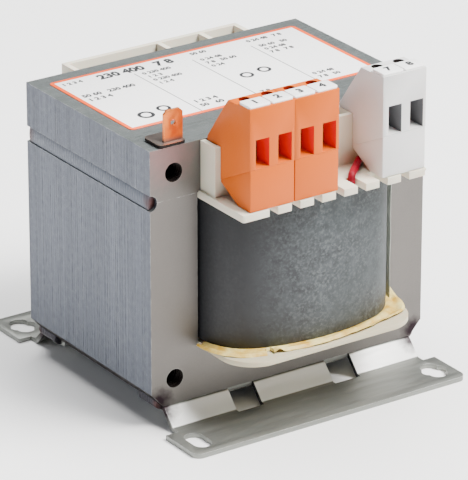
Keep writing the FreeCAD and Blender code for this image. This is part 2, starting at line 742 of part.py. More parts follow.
def module_pad(body, first, outline, inset):
    """Pads a side profile across the module's two poles."""
    start = f"({pole_left(first)} + module_play / 2 + {inset})"
    width = f"{POLES_PER_MODULE} * pole_pitch - module_play - 2 * {inset}"
    sketch = new_sketch(body, "YZ_Plane", start)
    draw_outline(sketch, outline)
    pad(body, sketch, width)


def positions(first):
    return [first + index for index in range(POLES_PER_MODULE)]


def cut_pin_holes(body, first):
    holes = new_sketch(body, "XY_Plane", entry_floor)
    side = "(pin_side / 2 + pin_play)"
    for position in positions(first):
        middle = pole_middle(position)
        draw_rectangle(holes, f"{middle} - {side}", f"{middle} + {side}",
                       f"{screw_y} - {side}", f"{screw_y} + {side}")
    pocket(body, holes, "terminal_height")


def terminal_housing(name, first):
    body = new_body(name)
    back_top = f"{terminal_reach} - terminal_top_depth"
    rail_back = f"{terminal_reach} - rail_depth"
    underside = f"{wall_top} + seat_play"
    module_pad(body, first, [
        (module_front, f"{module_bottom} + parting_front"),
        (outward(FRONT, module_back), f"{module_bottom} + parting_back"),
        (outward(FRONT, module_back), underside),
        (outward(FRONT, "nose_reach"), underside),
        (outward(FRONT, "nose_reach"), f"{underside} + nose_height"),
        (outward(FRONT, back_top), module_top),
        (outward(FRONT, rail_back), module_top),
        (outward(FRONT, rail_back), rail_top),
        (module_front, rail_top),
    ], "0")
    entries = new_sketch(body, "XZ_Plane", f"{half_stack} + {terminal_reach}")
    screws = new_sketch(body, "XY_Plane", module_top)
    for position in positions(first):
        left = f"({pole_left(position)} + entry_offset)"
        draw_rectangle(entries, left, f"{left} + entry_width", entry_floor, entry_ceiling)
        draw_circle(screws, pole_middle(position), screw_y, "screw_hole")
    pocket(body, entries, "entry_depth")
    pocket(body, screws, f"{module_top} - {entry_ceiling} + cage_play")
    cut_pin_holes(body, first)
    return body


def terminal_base(name, first):
    body = new_body(name)
    module_pad(body, first, [
        (module_front, module_bottom),
        (outward(FRONT, f"{terminal_reach} - base_flat"), module_bottom),
        (outward(FRONT, module_back), f"{module_bottom} + parting_back - base_back_height"),
        (outward(FRONT, module_back), f"{module_bottom} + parting_back"),
        (module_front, f"{module_bottom} + parting_front"),
    ], "base_inset")
    cut_pin_holes(body, first)
    return body


def clamp_cage(name, position):
    """Sheet loop that a wire is pushed into; its roof carries the thread."""
    body = new_body(name)
    half = "(entry_width / 2 - cage_play)"
    middle = pole_middle(position)
    roof = f"({entry_ceiling} - cage_play)"
    sketch = new_sketch(body, "XZ_Plane", f"-({screw_y}) - cage_depth / 2")
    draw_rectangle(sketch, f"{middle} - {half}", f"{middle} + {half}", entry_floor, roof)
    draw_rectangle(sketch, f"{middle} - ({half} - cage_wall)", f"{middle} + ({half} - cage_wall)",
                   f"{entry_floor} + cage_wall", f"{roof} - cage_wall")
    pad(body, sketch, "cage_depth")
    thread = new_sketch(body, "XY_Plane", roof)
    draw_circle(thread, middle, screw_y, "screw_stem + 2 * thread_play")
    pocket(body, thread, "cage_wall + cage_play")
    return body


def clamp_screw(name, position):
    """Slotted screw, turned about its axis in a half section."""
    body = new_body(name)
    seat = f"({entry_ceiling} + screw_lift)"
    foot = f"({seat} - screw_length)"
    middle = pole_middle(position)
    stem = new_sketch(body, "XY_Plane", foot)
    draw_circle(stem, middle, screw_y, "screw_stem")
    pad(body, stem, "screw_length")
    head = new_sketch(body, "XY_Plane", seat)
    draw_circle(head, middle, screw_y, "screw_head")
    pad(body, head, "screw_head_height")
    slot = new_sketch(body, "XY_Plane", f"{seat} + screw_head_height")
    draw_rectangle(slot, f"{middle} - screw_head", f"{middle} + screw_head",
                   f"{screw_y} - screw_slot / 2", f"{screw_y} + screw_slot / 2")
    pocket(body, slot, "screw_slot")
    return body


def marker_tag(name, position):
    """White tag on the module's rail, with a sloped front edge that carries the number."""
    body = new_body(name)
    sketch = new_sketch(body, "XY_Plane", rail_top)
    middle = f"({pole_left(position)} + pole_pitch / 2)"
    front = f"{module_front} + tag_set"
    draw_rectangle(sketch, f"{middle} - tag_width / 2", f"{middle} + tag_width / 2",
                   front, f"{front} + tag_depth")
    pad(body, sketch, "tag_thickness")

    def front_top(edge):
        place = edge.CenterOfMass
        return runs_along_x(edge) and near(place.y, front) and near(place.z, f"{rail_top} + tag_thickness")

    dress(body, "Chamfer", "tag_bevel", front_top)
    dress(body, "Fillet", "tag_corner", lambda edge: is_upright(edge)
          and edge.Length > number("tag_thickness - tag_bevel") - 1e-4)
    return body


def solder_pin(name, position):
    """Square pin from the clamp cage down through housing and base."""
    box = doc.addObject("Part::Box", name)
    bind(box, "Length", "pin_side")
    bind(box, "Width", "pin_side")
    bind(box, "Height", f"{entry_floor} - {deck_top} - pin_clear")
    bind(box, "Placement.Base.x", f"{pole_middle(position)} - pin_side / 2")
    bind(box, "Placement.Base.y", f"{screw_y} - pin_side / 2")
    bind(box, "Placement.Base.z", f"{deck_top} + pin_clear")
    return box


# Earth tab, label and lead

def earth_tab():
    """Folded sheet: a plate on the core and an upright blade with a hole."""
    body = new_body("earth_tab")
    plate = new_sketch(body, "XY_Plane", core_top)
    left = f"(plate_left - {half_core})"
    front = f"(-{half_stack} - plate_overhang)"
    draw_rectangle(plate, left, f"{left} + plate_width", front, f"{front} + plate_depth")
    pad(body, plate, "tab_sheet")

    def plate_corner(edge):
        return is_upright(edge)

    dress(body, "Fillet", "plate_corner", plate_corner)
    blade = new_sketch(body, "XZ_Plane", f"{half_stack} - tab_set - tab_sheet")
    blade_left = f"(tab_left - {half_core})"
    blade_right = f"({blade_left} + tab_width)"
    blade_top = f"({core_top} + tab_height)"
    draw_outline(blade, [
        (blade_left, core_top),
        (blade_right, core_top),
        (blade_right, f"{blade_top} - tab_point"),
        (f"{blade_right} - tab_point", blade_top),
        (f"{blade_left} + tab_point", blade_top),
        (blade_left, f"{blade_top} - tab_point"),
    ])
    draw_circle(blade, f"({blade_left} + tab_width / 2)", f"{core_top} + tab_hole_height", "tab_hole")
    pad(body, blade, "tab_sheet")

    def bend_edge(edge):
        middle = edge.CenterOfMass
        return (runs_along_x(edge) and near(middle.z, f"{core_top} + tab_sheet")
                and near(middle.y, f"-{half_stack} + tab_set + tab_sheet"))

    dress(body, "Fillet", "tab_bend", bend_edge)
    return body


def rating_label():
    body = new_body("rating_label")
    sketch = new_sketch(body, "XY_Plane", core_top)
    front = f"(-{half_stack} + label_front)"
    draw_rectangle(sketch, f"-({half_core} - label_inset)", f"{half_core} - label_inset",
                   front, f"{front} + label_depth")
    pad(body, sketch, "label_thickness")
    dress(body, "Fillet", "label_corner", is_upright)
    return body


def bent_rod(points, radius):
    """Straight rods joined by tangent bends, each as wide as its two runs allow."""
    parts = []
    start = points[0]
    for before, corner, after in zip(points, points[1:], points[2:]):
        inward = (before - corner).normalize()
        onward = (after - corner).normalize()
        turn = math.pi - inward.getAngle(onward)
        cut = 0.45 * min((before - corner).Length, (after - corner).Length)
        first = corner + inward * cut
        bisector = (inward + onward).normalize()
        bend_radius = cut / math.tan(turn / 2)
        centre = corner + bisector * (bend_radius / math.cos(turn / 2))
        section = Part.Face(Part.Wire(Part.Circle(first, first - start, radius).toShape()))
        parts.append(Part.makeCylinder(radius, (first - start).Length, start, first - start))
        parts.append(section.revolve(centre, onward.cross(inward), math.degrees(turn)))
        start = corner + onward * cut
    parts.append(Part.makeCylinder(radius, (points[-1] - start).Length, start, points[-1] - start))
    return parts[0].multiFuse(parts[1:])


def red_sleeved_lead():
    """Sleeved lead from a wire slot across the deck to the underside of the grey module."""
    radius = number("lead_diameter / 2")
    level = number(f"{deck_top} + lead_diameter / 2 + lead_lift")
    lead_x = number(comb_middle(4))
    lead_y = number(outward(FRONT, "top_flange_reach - comb_depth + lead_diameter / 2 + lead_play"))
    wall_y = number(outward(FRONT, f"{module_back} + lead_diameter / 2 + lead_play"))
    points = [
        Vector(lead_x, lead_y, number(f"{top_flange_top} - lead_sink")),
        Vector(lead_x, lead_y, level),
        Vector(number(f"{pole_left(6)} + lead_tuck"), wall_y, level),
    ]
    lead = doc.addObject("Part::Feature", "red_sleeved_lead")
    lead.Shape = bent_rod(points, radius)
    return lead


pieces = [e_lamination_stack(), i_lamination_stack()]
pieces.append(joint_weld("left_joint_weld", "-"))
pieces.append(joint_weld("right_joint_weld", ""))
for side_name, side in (("front", FRONT), ("rear", BACK)):
    pieces.append(foot_bracket(side_name + "_foot_bracket", side))
    for end_name, sign in (("left", "-"), ("right", "")):
        pieces.append(foot_weld(f"{side_name}_{end_name}_foot_weld", side, sign))
pieces.append(bobbin())
pieces.append(coil_layer("primary_winding", primary, None))
pieces.append(coil_layer("winding_barrier", barrier, primary))
pieces.append(coil_layer("secondary_winding", secondary, barrier))
pieces.append(coil_layer("outer_wrap", wrap, secondary))
pieces.append(insulation_cuff())
for colour, first in MODULES:
    pieces.append(terminal_housing(colour + "_terminal_housing", first))
    pieces.append(terminal_base(colour + "_terminal_base", first))
    for position in positions(first):
        pole = position + 1
        pieces.append(clamp_cage(f"clamp_cage_{pole}", position))
        pieces.append(clamp_screw(f"clamp_screw_{pole}", position))
        pieces.append(marker_tag(f"marker_tag_{pole}", position))
        pieces.append(solder_pin(f"solder_pin_{pole}", position))
pieces.append(earth_tab())
pieces.append(rating_label())
pieces.append(red_sleeved_lead())

doc.recompute()
for thing in doc.Objects:
    if "Invalid" in thing.State or "Error" in thing.State:
        raise RuntimeError(f"{thing.Name} failed: {thing.State}")
for piece in pieces:
    if piece.Shape.isNull() or not piece.Shape.isValid():
        raise RuntimeError(piece.Label + " has no valid shape")
    if not piece.Shape.Solids:
        raise RuntimeError(piece.Label + " has no solid")
for piece in pieces:
    piece.Shape.exportStep(f"parts/{piece.Label}.step")
print(len(pieces), "pieces written")
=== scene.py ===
# %% [markdown]
# # A chassis transformer, dressed piece by piece
#
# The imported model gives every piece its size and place. This lesson keeps those places and
# works on what a camera sees: the edges that catch light, the sheets of the core, the paper
# round the coil and the plastic of the terminals. Lengths are in metres, as Blender has them.

import bpy
import math
import random
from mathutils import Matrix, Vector


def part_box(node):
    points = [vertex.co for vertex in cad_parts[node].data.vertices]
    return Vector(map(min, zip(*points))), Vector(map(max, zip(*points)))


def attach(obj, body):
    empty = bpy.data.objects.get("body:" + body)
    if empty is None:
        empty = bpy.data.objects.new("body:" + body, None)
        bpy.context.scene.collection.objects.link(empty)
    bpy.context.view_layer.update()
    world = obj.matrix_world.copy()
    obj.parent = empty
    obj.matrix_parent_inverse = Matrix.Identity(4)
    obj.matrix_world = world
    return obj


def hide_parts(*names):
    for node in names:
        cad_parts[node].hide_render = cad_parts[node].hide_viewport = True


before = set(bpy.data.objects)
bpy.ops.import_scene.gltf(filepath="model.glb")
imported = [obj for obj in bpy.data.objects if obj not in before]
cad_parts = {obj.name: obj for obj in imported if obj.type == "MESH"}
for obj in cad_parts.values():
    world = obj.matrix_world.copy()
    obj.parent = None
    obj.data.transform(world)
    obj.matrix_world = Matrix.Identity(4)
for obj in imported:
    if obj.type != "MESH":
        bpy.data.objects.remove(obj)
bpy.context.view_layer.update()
MM = 0.001

# %% [markdown]
# ## Places to measure from
#
# A new piece needs a few levels and faces of the core. They are read from the boxes of the
# nodes, so nothing is typed twice and nothing drifts away from the model.

# %% Levels and faces of the core
core_low, core_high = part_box("e_lamination_stack")
yoke_low, yoke_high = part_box("i_lamination_stack")
wrap_low, wrap_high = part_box("outer_wrap")
label_low, label_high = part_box("rating_label")
FRONT_FACE = core_low.y
CORE_TOP = yoke_high.z
CORE_BOTTOM = core_low.z
JOINT = yoke_low.z
HALF_CORE = core_high.x
print("core front at", round(FRONT_FACE / MM, 2), "top at", round(CORE_TOP / MM, 2))

# %% [markdown]
# ## Camera
#
# The photograph was taken from the front left and a little above, with a long lens from more
# than a metre away. Such a lens keeps the far edges nearly as long as the near ones. The
# camera stands at the measured place and its focal length is worked out for the frame's
# longer side, because Blender's sensor width belongs to that side.

# %% Camera
CAMERA_PLACE = Vector((-640.88, -947.46, 526.67)) * MM
CAMERA_TURN = 34.20
CAMERA_DOWN = 23.19
FOCAL_PIXELS = 4194.0
FRAME_LONG_SIDE = 480

bpy.ops.object.select_all(action="DESELECT")
bpy.ops.object.camera_add(location=CAMERA_PLACE)
camera = bpy.context.object
camera.name = "camera"
camera.rotation_euler = (math.radians(90 - CAMERA_DOWN), 0, math.radians(-CAMERA_TURN))
camera.data.lens = FOCAL_PIXELS * camera.data.sensor_width / FRAME_LONG_SIDE
bpy.context.scene.camera = camera
print("lens", round(camera.data.lens, 1), "mm")

# %% [markdown]
# ## Floor and light
#
# A pale floor, wide enough to leave the picture on every side, shows no horizon. The light
# is that of a studio. A large soft lamp from the front right makes the terminal faces
# bright, and a small one near it picks out the web of the front foot. A weak lamp from the
# left opens the shaded side, and one from above lights the label. Area lamps are used and
# not spots, because their large faces give the soft shadow of a light tent.

# %% Floor and lamps
FLOOR_SIZE = 6.0
FLOOR_COLOUR = (0.95, 0.95, 0.95, 1)
SKY_COLOUR = (0.93, 0.95, 1.0, 1)
SKY_STRENGTH = 0.12
LAMP_AIM = Vector((0, 0, 50 * MM))

bpy.ops.mesh.primitive_plane_add(size=FLOOR_SIZE, location=(0, 0, 0))
floor = bpy.context.object
floor.name = "floor"

floor_material = bpy.data.materials.new("pale_floor")
floor_material.use_nodes = True
floor_shader = floor_material.node_tree.nodes["Principled BSDF"]
floor_shader.inputs["Base Color"].default_value = FLOOR_COLOUR
floor_shader.inputs["Roughness"].default_value = 0.85
floor.data.materials.append(floor_material)

# Name, place in metres, size, power in watts and colour
LAMPS = [
    ("key_lamp", (0.62, -0.7, 1.45), 0.9, 88, (1.0, 0.985, 0.96)),
    ("foot_lamp", (0.83, -0.75, 1.14), 0.35, 5, (1.0, 1.0, 1.0)),
    ("side_lamp", (-1.35, 0.7, 0.8), 1.0, 5, (0.93, 0.96, 1.0)),
    ("top_lamp", (0.1, 0.45, 1.6), 1.2, 44, (1.0, 1.0, 1.0)),
]


def add_lamp(name, place, size, power, colour):
    """A square lamp that faces the middle of the object."""
    bpy.ops.object.light_add(type="AREA", location=place)
    lamp = bpy.context.object
    lamp.name = name
    lamp.data.shape = "SQUARE"
    lamp.data.size = size
    lamp.data.energy = power
    lamp.data.color = colour
    aim = LAMP_AIM - Vector(place)
    lamp.rotation_euler = aim.to_track_quat("-Z", "Y").to_euler()


for lamp_values in LAMPS:
    add_lamp(*lamp_values)

world = bpy.data.worlds.new("studio")
bpy.context.scene.world = world
world.use_nodes = True
sky = world.node_tree.nodes["Background"]
sky.inputs["Color"].default_value = SKY_COLOUR
sky.inputs["Strength"].default_value = SKY_STRENGTH
print("lamps:", [values[0] for values in LAMPS])

# %% [markdown]
# ## Effects that several finishes share
#
# Grain, sheet lines, worn edges, dust and heat tint each appear on more than one material.
# Each is a node group with named sockets, built once. A material then places the group and
# sets its own values, as one would reuse a stencil. The groups put out masks, tones and
# heights only; the surface shader stays in the material.

# %% Helpers that build node groups
groups = {}


def start_group(name, inputs, outputs):
    """Makes a node group; an input starts with a number or, for a vector, with a triple."""
    group = bpy.data.node_groups.new(name, "ShaderNodeTree")
    for title, value in inputs.items():
        kind = "NodeSocketVector" if isinstance(value, tuple) else "NodeSocketFloat"
        socket = group.interface.new_socket(name=title, in_out="INPUT", socket_type=kind)
        socket.default_value = value
    for title in outputs:
        group.interface.new_socket(name=title, in_out="OUTPUT", socket_type="NodeSocketFloat")
    groups[name] = group
    entry = group.nodes.new("NodeGroupInput")
    leave = group.nodes.new("NodeGroupOutput")
    return group, entry.outputs, leave.inputs


def add_node(tree, kind, values, **settings):
    """Adds a node and gives its outputs; each value is a socket to link or a plain value."""
    node = tree.nodes.new("ShaderNode" + kind)
    for key, value in settings.items():
        setattr(node, key, value)
    for key, value in values.items():
        if isinstance(value, bpy.types.NodeSocket):
            tree.links.new(value, node.inputs[key])
        else:
            node.inputs[key].default_value = value
    return node.outputs


def join(tree, *pairs):
    """Links (output, input) pairs."""
    for source, target in pairs:
        tree.links.new(source, target)


def object_position(tree):
    return add_node(tree, "TexCoord", {})["Object"]


def surface_normal(tree):
    return add_node(tree, "NewGeometry", {})["Normal"]


def split_axes(tree, vector):
    """The X, Y and Z of a vector, each as an output."""
    return add_node(tree, "SeparateXYZ", {0: vector})


def vector_step(tree, operation, first, second=(0, 0, 0)):
    """One step of vector arithmetic; its outputs are Vector and Value."""
    return add_node(tree, "VectorMath", {0: first, 1: second}, operation=operation)


def arithmetic(tree, operation, first, second=0.0, third=0.0, clamp=False):
    """One step of arithmetic; sockets or plain numbers."""
    values = {0: first, 1: second, 2: third}
    return add_node(tree, "Math", values, operation=operation, use_clamp=clamp)[0]


def remap(tree, value, low, high, to_low=0.0, to_high=1.0):
    """A straight ramp between two limits, held flat outside them."""
    values = {"Value": value, "From Min": low, "From Max": high, "To Min": to_low, "To Max": to_high}
    return add_node(tree, "MapRange", values, clamp=True)["Result"]


def noise(tree, place, scale, detail, roughness=0.5):
    """A cloudy pattern over a vector."""
    values = {"Vector": place, "Scale": scale, "Detail": detail, "Roughness": roughness}
    return add_node(tree, "TexNoise", values)[0]


print("helpers for node groups are ready")

# %% [markdown]
# **Grain.** Moulded plastic, paper and rolled steel all have a fine grain that breaks up the
# light. One noise gives the fine height and a second, larger one the slow change of colour.

# %% Grain
group, entry, leave = start_group(
    "grain", {"Fine Scale": 4000.0, "Cloud Scale": 60.0, "Stretch": (1, 1, 1)}, ("Fine", "Cloud"))
stretched = vector_step(group, "MULTIPLY", object_position(group), entry["Stretch"])["Vector"]
join(group, (noise(group, stretched, entry["Fine Scale"], 3.0, 0.6), leave["Fine"]),
     (noise(group, stretched, entry["Cloud Scale"], 4.0, 0.55), leave["Cloud"]))
print("group", group.name)

# %% [markdown]
# **Worn edges.** A corner that is handled loses its finish first. The bevelled normal differs
# from the true one only close to an edge, so their difference is a mask of the edges. A noise
# breaks the mask up, because wear is never even.

# %% Worn edges
group, entry, leave = start_group(
    "worn_edges", {"Radius": 0.4 * MM, "Patch Scale": 500.0, "Amount": 1.0}, ["Mask"])
rounded = add_node(group, "Bevel", {"Radius": entry["Radius"]}, samples=4)[0]
likeness = vector_step(group, "DOT_PRODUCT", rounded, surface_normal(group))["Value"]
edge = remap(group, likeness, 0.97, 0.80)
patches = noise(group, object_position(group), entry["Patch Scale"], 2.0)
worn = arithmetic(group, "MULTIPLY", edge, remap(group, patches, 0.35, 0.6))
join(group, (arithmetic(group, "MULTIPLY", worn, entry["Amount"], clamp=True), leave["Mask"]))
print("group", group.name)

# %% [markdown]
# **Dust.** It settles on what faces up. The mask is the upward part of the normal, thinned by
# a cloudy noise.

# %% Dust
group, entry, leave = start_group("settled_dust", {"Amount": 0.2}, ["Mask"])
upward = remap(group, split_axes(group, surface_normal(group))["Z"], 0.5, 1.0)
cloud = noise(group, object_position(group), 90.0, 6.0, 0.7)
mask = arithmetic(group, "MULTIPLY", upward, remap(group, cloud, 0.35, 0.75))
join(group, (arithmetic(group, "MULTIPLY", mask, entry["Amount"]), leave["Mask"]))
print("group", group.name)

# %% [markdown]
# **Heat tint.** Steel that was welded keeps a stain of purple and brown round the bead. It is
# a soft ball of colour about a point; the noise makes its rim uneven. Core and feet share it.

# %% Heat tint
group, entry, leave = start_group("heat_tint", {"Place": (0, 0, 0), "Radius": 6 * MM}, ["Mask"])
mirrored = vector_step(group, "ABSOLUTE", object_position(group))["Vector"]
away = vector_step(group, "DISTANCE", mirrored, entry["Place"])["Value"]
share = arithmetic(group, "DIVIDE", away, entry["Radius"])
cloud = noise(group, object_position(group), 420.0, 3.0)
uneven = arithmetic(group, "MULTIPLY_ADD", cloud, 0.7, -0.35)
join(group, (remap(group, arithmetic(group, "ADD", share, uneven), 1.0, 0.25), leave["Mask"]))
print("group", group.name)

# %% [markdown]
# **Sheet lines.** The core is about a hundred and thirty sheets pressed together. Seen from
# the side their cut edges form fine upright streaks, some lighter and some darker. A noise
# that is long in X and Z and short in Y gives streaks that follow the sheets.

# %% Sheet lines
group, entry, leave = start_group("sheet_lines", {"Sheet": 0.5 * MM, "Contrast": 1.0}, ("Tone", "Height"))
position = object_position(group)
tones = []
for across, along, detail in ((1500.0, 12.0, 2.0), (260.0, 5.0, 3.0)):
    streaks = vector_step(group, "MULTIPLY", position, (along, across, along))["Vector"]
    tones.append(remap(group, noise(group, streaks, 1.0, detail), 0.3, 0.7, -0.5, 0.5))
sheets = arithmetic(group, "DIVIDE", split_axes(group, position)["Y"], entry["Sheet"])
from_gap = arithmetic(group, "PINGPONG", arithmetic(group, "FRACT", sheets), 0.5)
height = remap(group, from_gap, 0.0, 0.16)
shown = arithmetic(group, "MULTIPLY_ADD", arithmetic(group, "ADD", *tones), entry["Contrast"], 0.5)
tone = arithmetic(group, "MULTIPLY", shown, remap(group, height, 0, 1, 0.72, 1.0), clamp=True)
join(group, (tone, leave["Tone"]), (height, leave["Height"]))
print("group", group.name)

# %% [markdown]
# ## Finishes
#
# Each finish below starts with a fresh material and its Principled shader. What is the same
# all over is set on the shader's own socket. What changes from spot to spot comes from the
# groups. Every finish is kept under its name.

# %% Helpers for finishes
finishes = {}


def new_finish(name, roughness, metallic=0.0, **plain):
    """A fresh material; plain values go on the shader's sockets. Gives its tree and shader."""
    material = bpy.data.materials.new(name)
    material.use_nodes = True
    finishes[name] = material
    shader = material.node_tree.nodes["Principled BSDF"]
    for title, value in {"Roughness": roughness, "Metallic": metallic, **plain}.items():
        shader.inputs[title.replace("_", " ")].default_value = value
    return material.node_tree, shader


def place_group(tree, name, **values):
    """Places a group in a material and gives its outputs."""
    values = {title.replace("_", " "): value for title, value in values.items()}
    return add_node(tree, "Group", values, node_tree=groups[name])


def srgb(red, green, blue):
    """A colour given in 0 to 255, as the shader wants it."""
    def linear(value):
        share = value / 255
        return share / 12.92 if share <= 0.04045 else ((share + 0.055) / 1.055) ** 2.4
    return (linear(red), linear(green), linear(blue), 1)


def mix_colours(tree, mask, *colours):
    """The first colour where the mask is 0 and the second where it is 1; sockets or triples."""
    first, second = (colour if isinstance(colour, bpy.types.NodeSocket) else srgb(*colour)
                     for colour in colours)
    return add_node(tree, "Mix", {0: mask, 6: first, 7: second}, data_type="RGBA")[2]


def dress_shader(tree, shader, colour, fine, gloss):
    """Links the colour and lets the fine grain change the roughness between two values."""
    join(tree, (colour, shader.inputs["Base Color"]),
         (remap(tree, fine, 0.3, 0.7, *gloss), shader.inputs["Roughness"]))


def add_bump(tree, shader, height, strength, distance):
    """Height in metres for the light only; the mesh stays as it is."""
    bump = add_node(tree, "Bump", {"Strength": strength, "Distance": distance, "Height": height})
    join(tree, (bump[0], shader.inputs["Normal"]))


print("orange as linear light:", [round(value, 3) for value in srgb(255, 140, 60)])

# %% [markdown]
# ** Lamination steel.** The cut edges on the sides are bluish and streaked, and the flat face of
# the first sheet is warmer and smooth. The top gets a lighter, greener tone, a painted highlight
# for the light from above. The normal tells them apart. Near the feet's welds the steel is
# stained, and its upper corners have a faint blush.

# %% Lamination steel
tree, shader = new_finish("lamination_steel", 0.45, 0.75)
lines = place_group(tree, "sheet_lines", Contrast=0.45)
grain = place_group(tree, "grain", Fine_Scale=2600.0, Cloud_Scale=45.0)
edges = place_group(tree, "worn_edges", Radius=0.3 * MM, Amount=0.5)
normal = split_axes(tree, surface_normal(tree))
flat = remap(tree, arithmetic(tree, "ABSOLUTE", normal["Y"]), 0.6, 0.9)
streaks = mix_colours(tree, lines["Tone"], (74, 79, 89), (101, 106, 117))
face = mix_colours(tree, grain["Cloud"], (100, 96, 93), (115, 111, 107))
# The upward faces get a lighter, greener tone: a painted highlight for the light from above.
upward = remap(tree, normal["Z"], 0.6, 0.9)
painted_top_light = mix_colours(tree, lines["Tone"], (98, 105, 105), (126, 132, 131))
steel = mix_colours(tree, upward, mix_colours(tree, flat, streaks, face), painted_top_light)
corner = (HALF_CORE - 3 * MM, -FRONT_FACE, CORE_BOTTOM + 2 * MM)
stain = place_group(tree, "heat_tint", Place=corner, Radius=5.2 * MM)
burn = arithmetic(tree, "MULTIPLY", stain["Mask"], remap(tree, flat, 0, 1, 0.3, 1.0))
stained = mix_colours(tree, burn, steel, (30, 14, 22))
top_corner = (HALF_CORE - 5 * MM, -FRONT_FACE, CORE_TOP - 1.5 * MM)
blush = place_group(tree, "heat_tint", Place=top_corner, Radius=12 * MM)
weak_blush = arithmetic(tree, "MULTIPLY", blush["Mask"], remap(tree, flat, 0, 1, 0.0, 0.35))
blushed = mix_colours(tree, weak_blush, stained, (170, 120, 122))
worn = mix_colours(tree, edges["Mask"], blushed, (214, 214, 212))
dress_shader(tree, shader, worn, grain["Fine"], (0.38, 0.55))
add_bump(tree, shader, lines["Height"], 0.12, 0.04 * MM)
print("finishes:", list(finishes))

# %% [markdown]
# ** Foot steel and weld metal.** Rolled sheet with a satin surface: faint lines along the
# rolling direction, a stain by the welds, bright edges where it was cut. The slanting web is
# painted nearly white and made less metallic, a painted sheen for the lamps' reflection on it.
# It could be a material of its own, but then a hard seam would run along the bend, so a mask of
# the normal makes it lighter instead. A bead is rippled by a wave texture. The dark walls of
# the foot's openings are made the same way, as a painted shade.

# %% Foot steel and weld metal
tree, shader = new_finish("foot_steel", 0.38, 0.85)
grain = place_group(tree, "grain", Fine_Scale=900.0, Cloud_Scale=40.0, Stretch=(0.06, 1, 1))
edges = place_group(tree, "worn_edges", Radius=0.3 * MM, Amount=0.8)
steel = mix_colours(tree, grain["Cloud"], (122, 124, 119), (156, 158, 153))
corner = (HALF_CORE - 3.5 * MM, -FRONT_FACE, CORE_BOTTOM - 1 * MM)
stain = place_group(tree, "heat_tint", Place=corner, Radius=6 * MM)
stained = mix_colours(tree, stain["Mask"], steel, (52, 40, 44))
normal = split_axes(tree, surface_normal(tree))
# The slanting web gets a painted sheen: nearly white and less metallic, for the lamps' reflection.
outward = remap(tree, arithmetic(tree, "ABSOLUTE", normal["Y"]), 0.45, 0.65)
painted_web_sheen_mask = arithmetic(tree, "MULTIPLY", outward, remap(tree, normal["Z"], 0.2, 0.4))
stained_painted_web_sheen = mix_colours(tree, stain["Mask"], (250, 250, 248), (62, 52, 56))
with_painted_web_sheen = mix_colours(tree, painted_web_sheen_mask, stained, stained_painted_web_sheen)
worn = mix_colours(tree, edges["Mask"], with_painted_web_sheen, (222, 222, 220))
dress_shader(tree, shader, worn, grain["Fine"], (0.4, 0.56))
join(tree, (remap(tree, painted_web_sheen_mask, 0, 1, 0.85, 0.12), shader.inputs["Metallic"]))
add_bump(tree, shader, grain["Fine"], 0.12, 0.06 * MM)


def weld_finish(name, dark, light, level, stain_radius):
    """Rippled bead; its end at the core's face is stained by the heat."""
    tree, shader = new_finish(name, 0.5, 0.8)
    grain = place_group(tree, "grain", Fine_Scale=1800.0, Cloud_Scale=300.0)
    waves = {"Vector": object_position(tree), "Scale": 260.0, "Distortion": 2.0, "Detail": 1.0}
    ripples = add_node(tree, "TexWave", waves, bands_direction="Y")[1]
    bead_end = (HALF_CORE - 2 * MM, -FRONT_FACE - 0.5 * MM, level)
    stain = place_group(tree, "heat_tint", Place=bead_end, Radius=stain_radius)
    metal = mix_colours(tree, grain["Cloud"], dark, light)
    stained = mix_colours(tree, stain["Mask"], metal, (74, 48, 46))
    dress_shader(tree, shader, stained, grain["Fine"], (0.35, 0.6))
    add_bump(tree, shader, ripples, 0.5, 0.2 * MM)


# This finish is a painted shade for the dark walls of the foot's openings.
weld_finish("painted_shade_cut_edge", (38, 38, 42), (66, 66, 72), CORE_BOTTOM, 2 * MM)
weld_finish("weld_metal", (78, 83, 93), (100, 105, 115), JOINT, 4.5 * MM)
weld_finish("burnt_weld", (48, 46, 52), (74, 72, 78), CORE_BOTTOM, 3 * MM)
print("finishes:", list(finishes))

# %% [markdown]
# ** Plastics.** Moulded polyamide has a fine grain and slightly paler edges, and the paler
# kinds let a little light in. Orange, grey, cream and white differ only in colour and
# gloss, so one function makes them all. The bobbin's lower flange gets a painted shade:
# the height above the floor mixes in a darker cream there.

# %% Plastics
def plastic_finish(name, dark, light, edge, roughness, soft=0.0, dust=0.0, painted_shade_below=None):
    """A moulding; soft lets light in, and a painted shade can darken what is below a level."""
    tree, shader = new_finish(
        name, roughness, 0.0, Subsurface_Weight=soft, Subsurface_Scale=1.5 * MM, Specular_IOR_Level=0.22)
    grain = place_group(tree, "grain", Fine_Scale=3200.0, Cloud_Scale=70.0)
    edges = place_group(tree, "worn_edges", Radius=0.35 * MM, Amount=0.6)
    settled = place_group(tree, "settled_dust", Amount=dust)
    body = mix_colours(tree, grain["Cloud"], dark, light)
    worn = mix_colours(tree, edges["Mask"], body, edge)
    # Below the level the cream is painted darker, a painted shade.
    if painted_shade_below is not None:
        height = split_axes(tree, object_position(tree))["Z"]
        low = remap(tree, height, painted_shade_below, painted_shade_below + 2 * MM, 0.75, 0.0)
        worn = mix_colours(tree, low, worn, (176, 166, 136))
    dusty = mix_colours(tree, settled["Mask"], worn, (205, 200, 192))
    dress_shader(tree, shader, dusty, grain["Fine"], (roughness - 0.06, roughness + 0.08))
    add_bump(tree, shader, grain["Fine"], 0.1, 0.04 * MM)


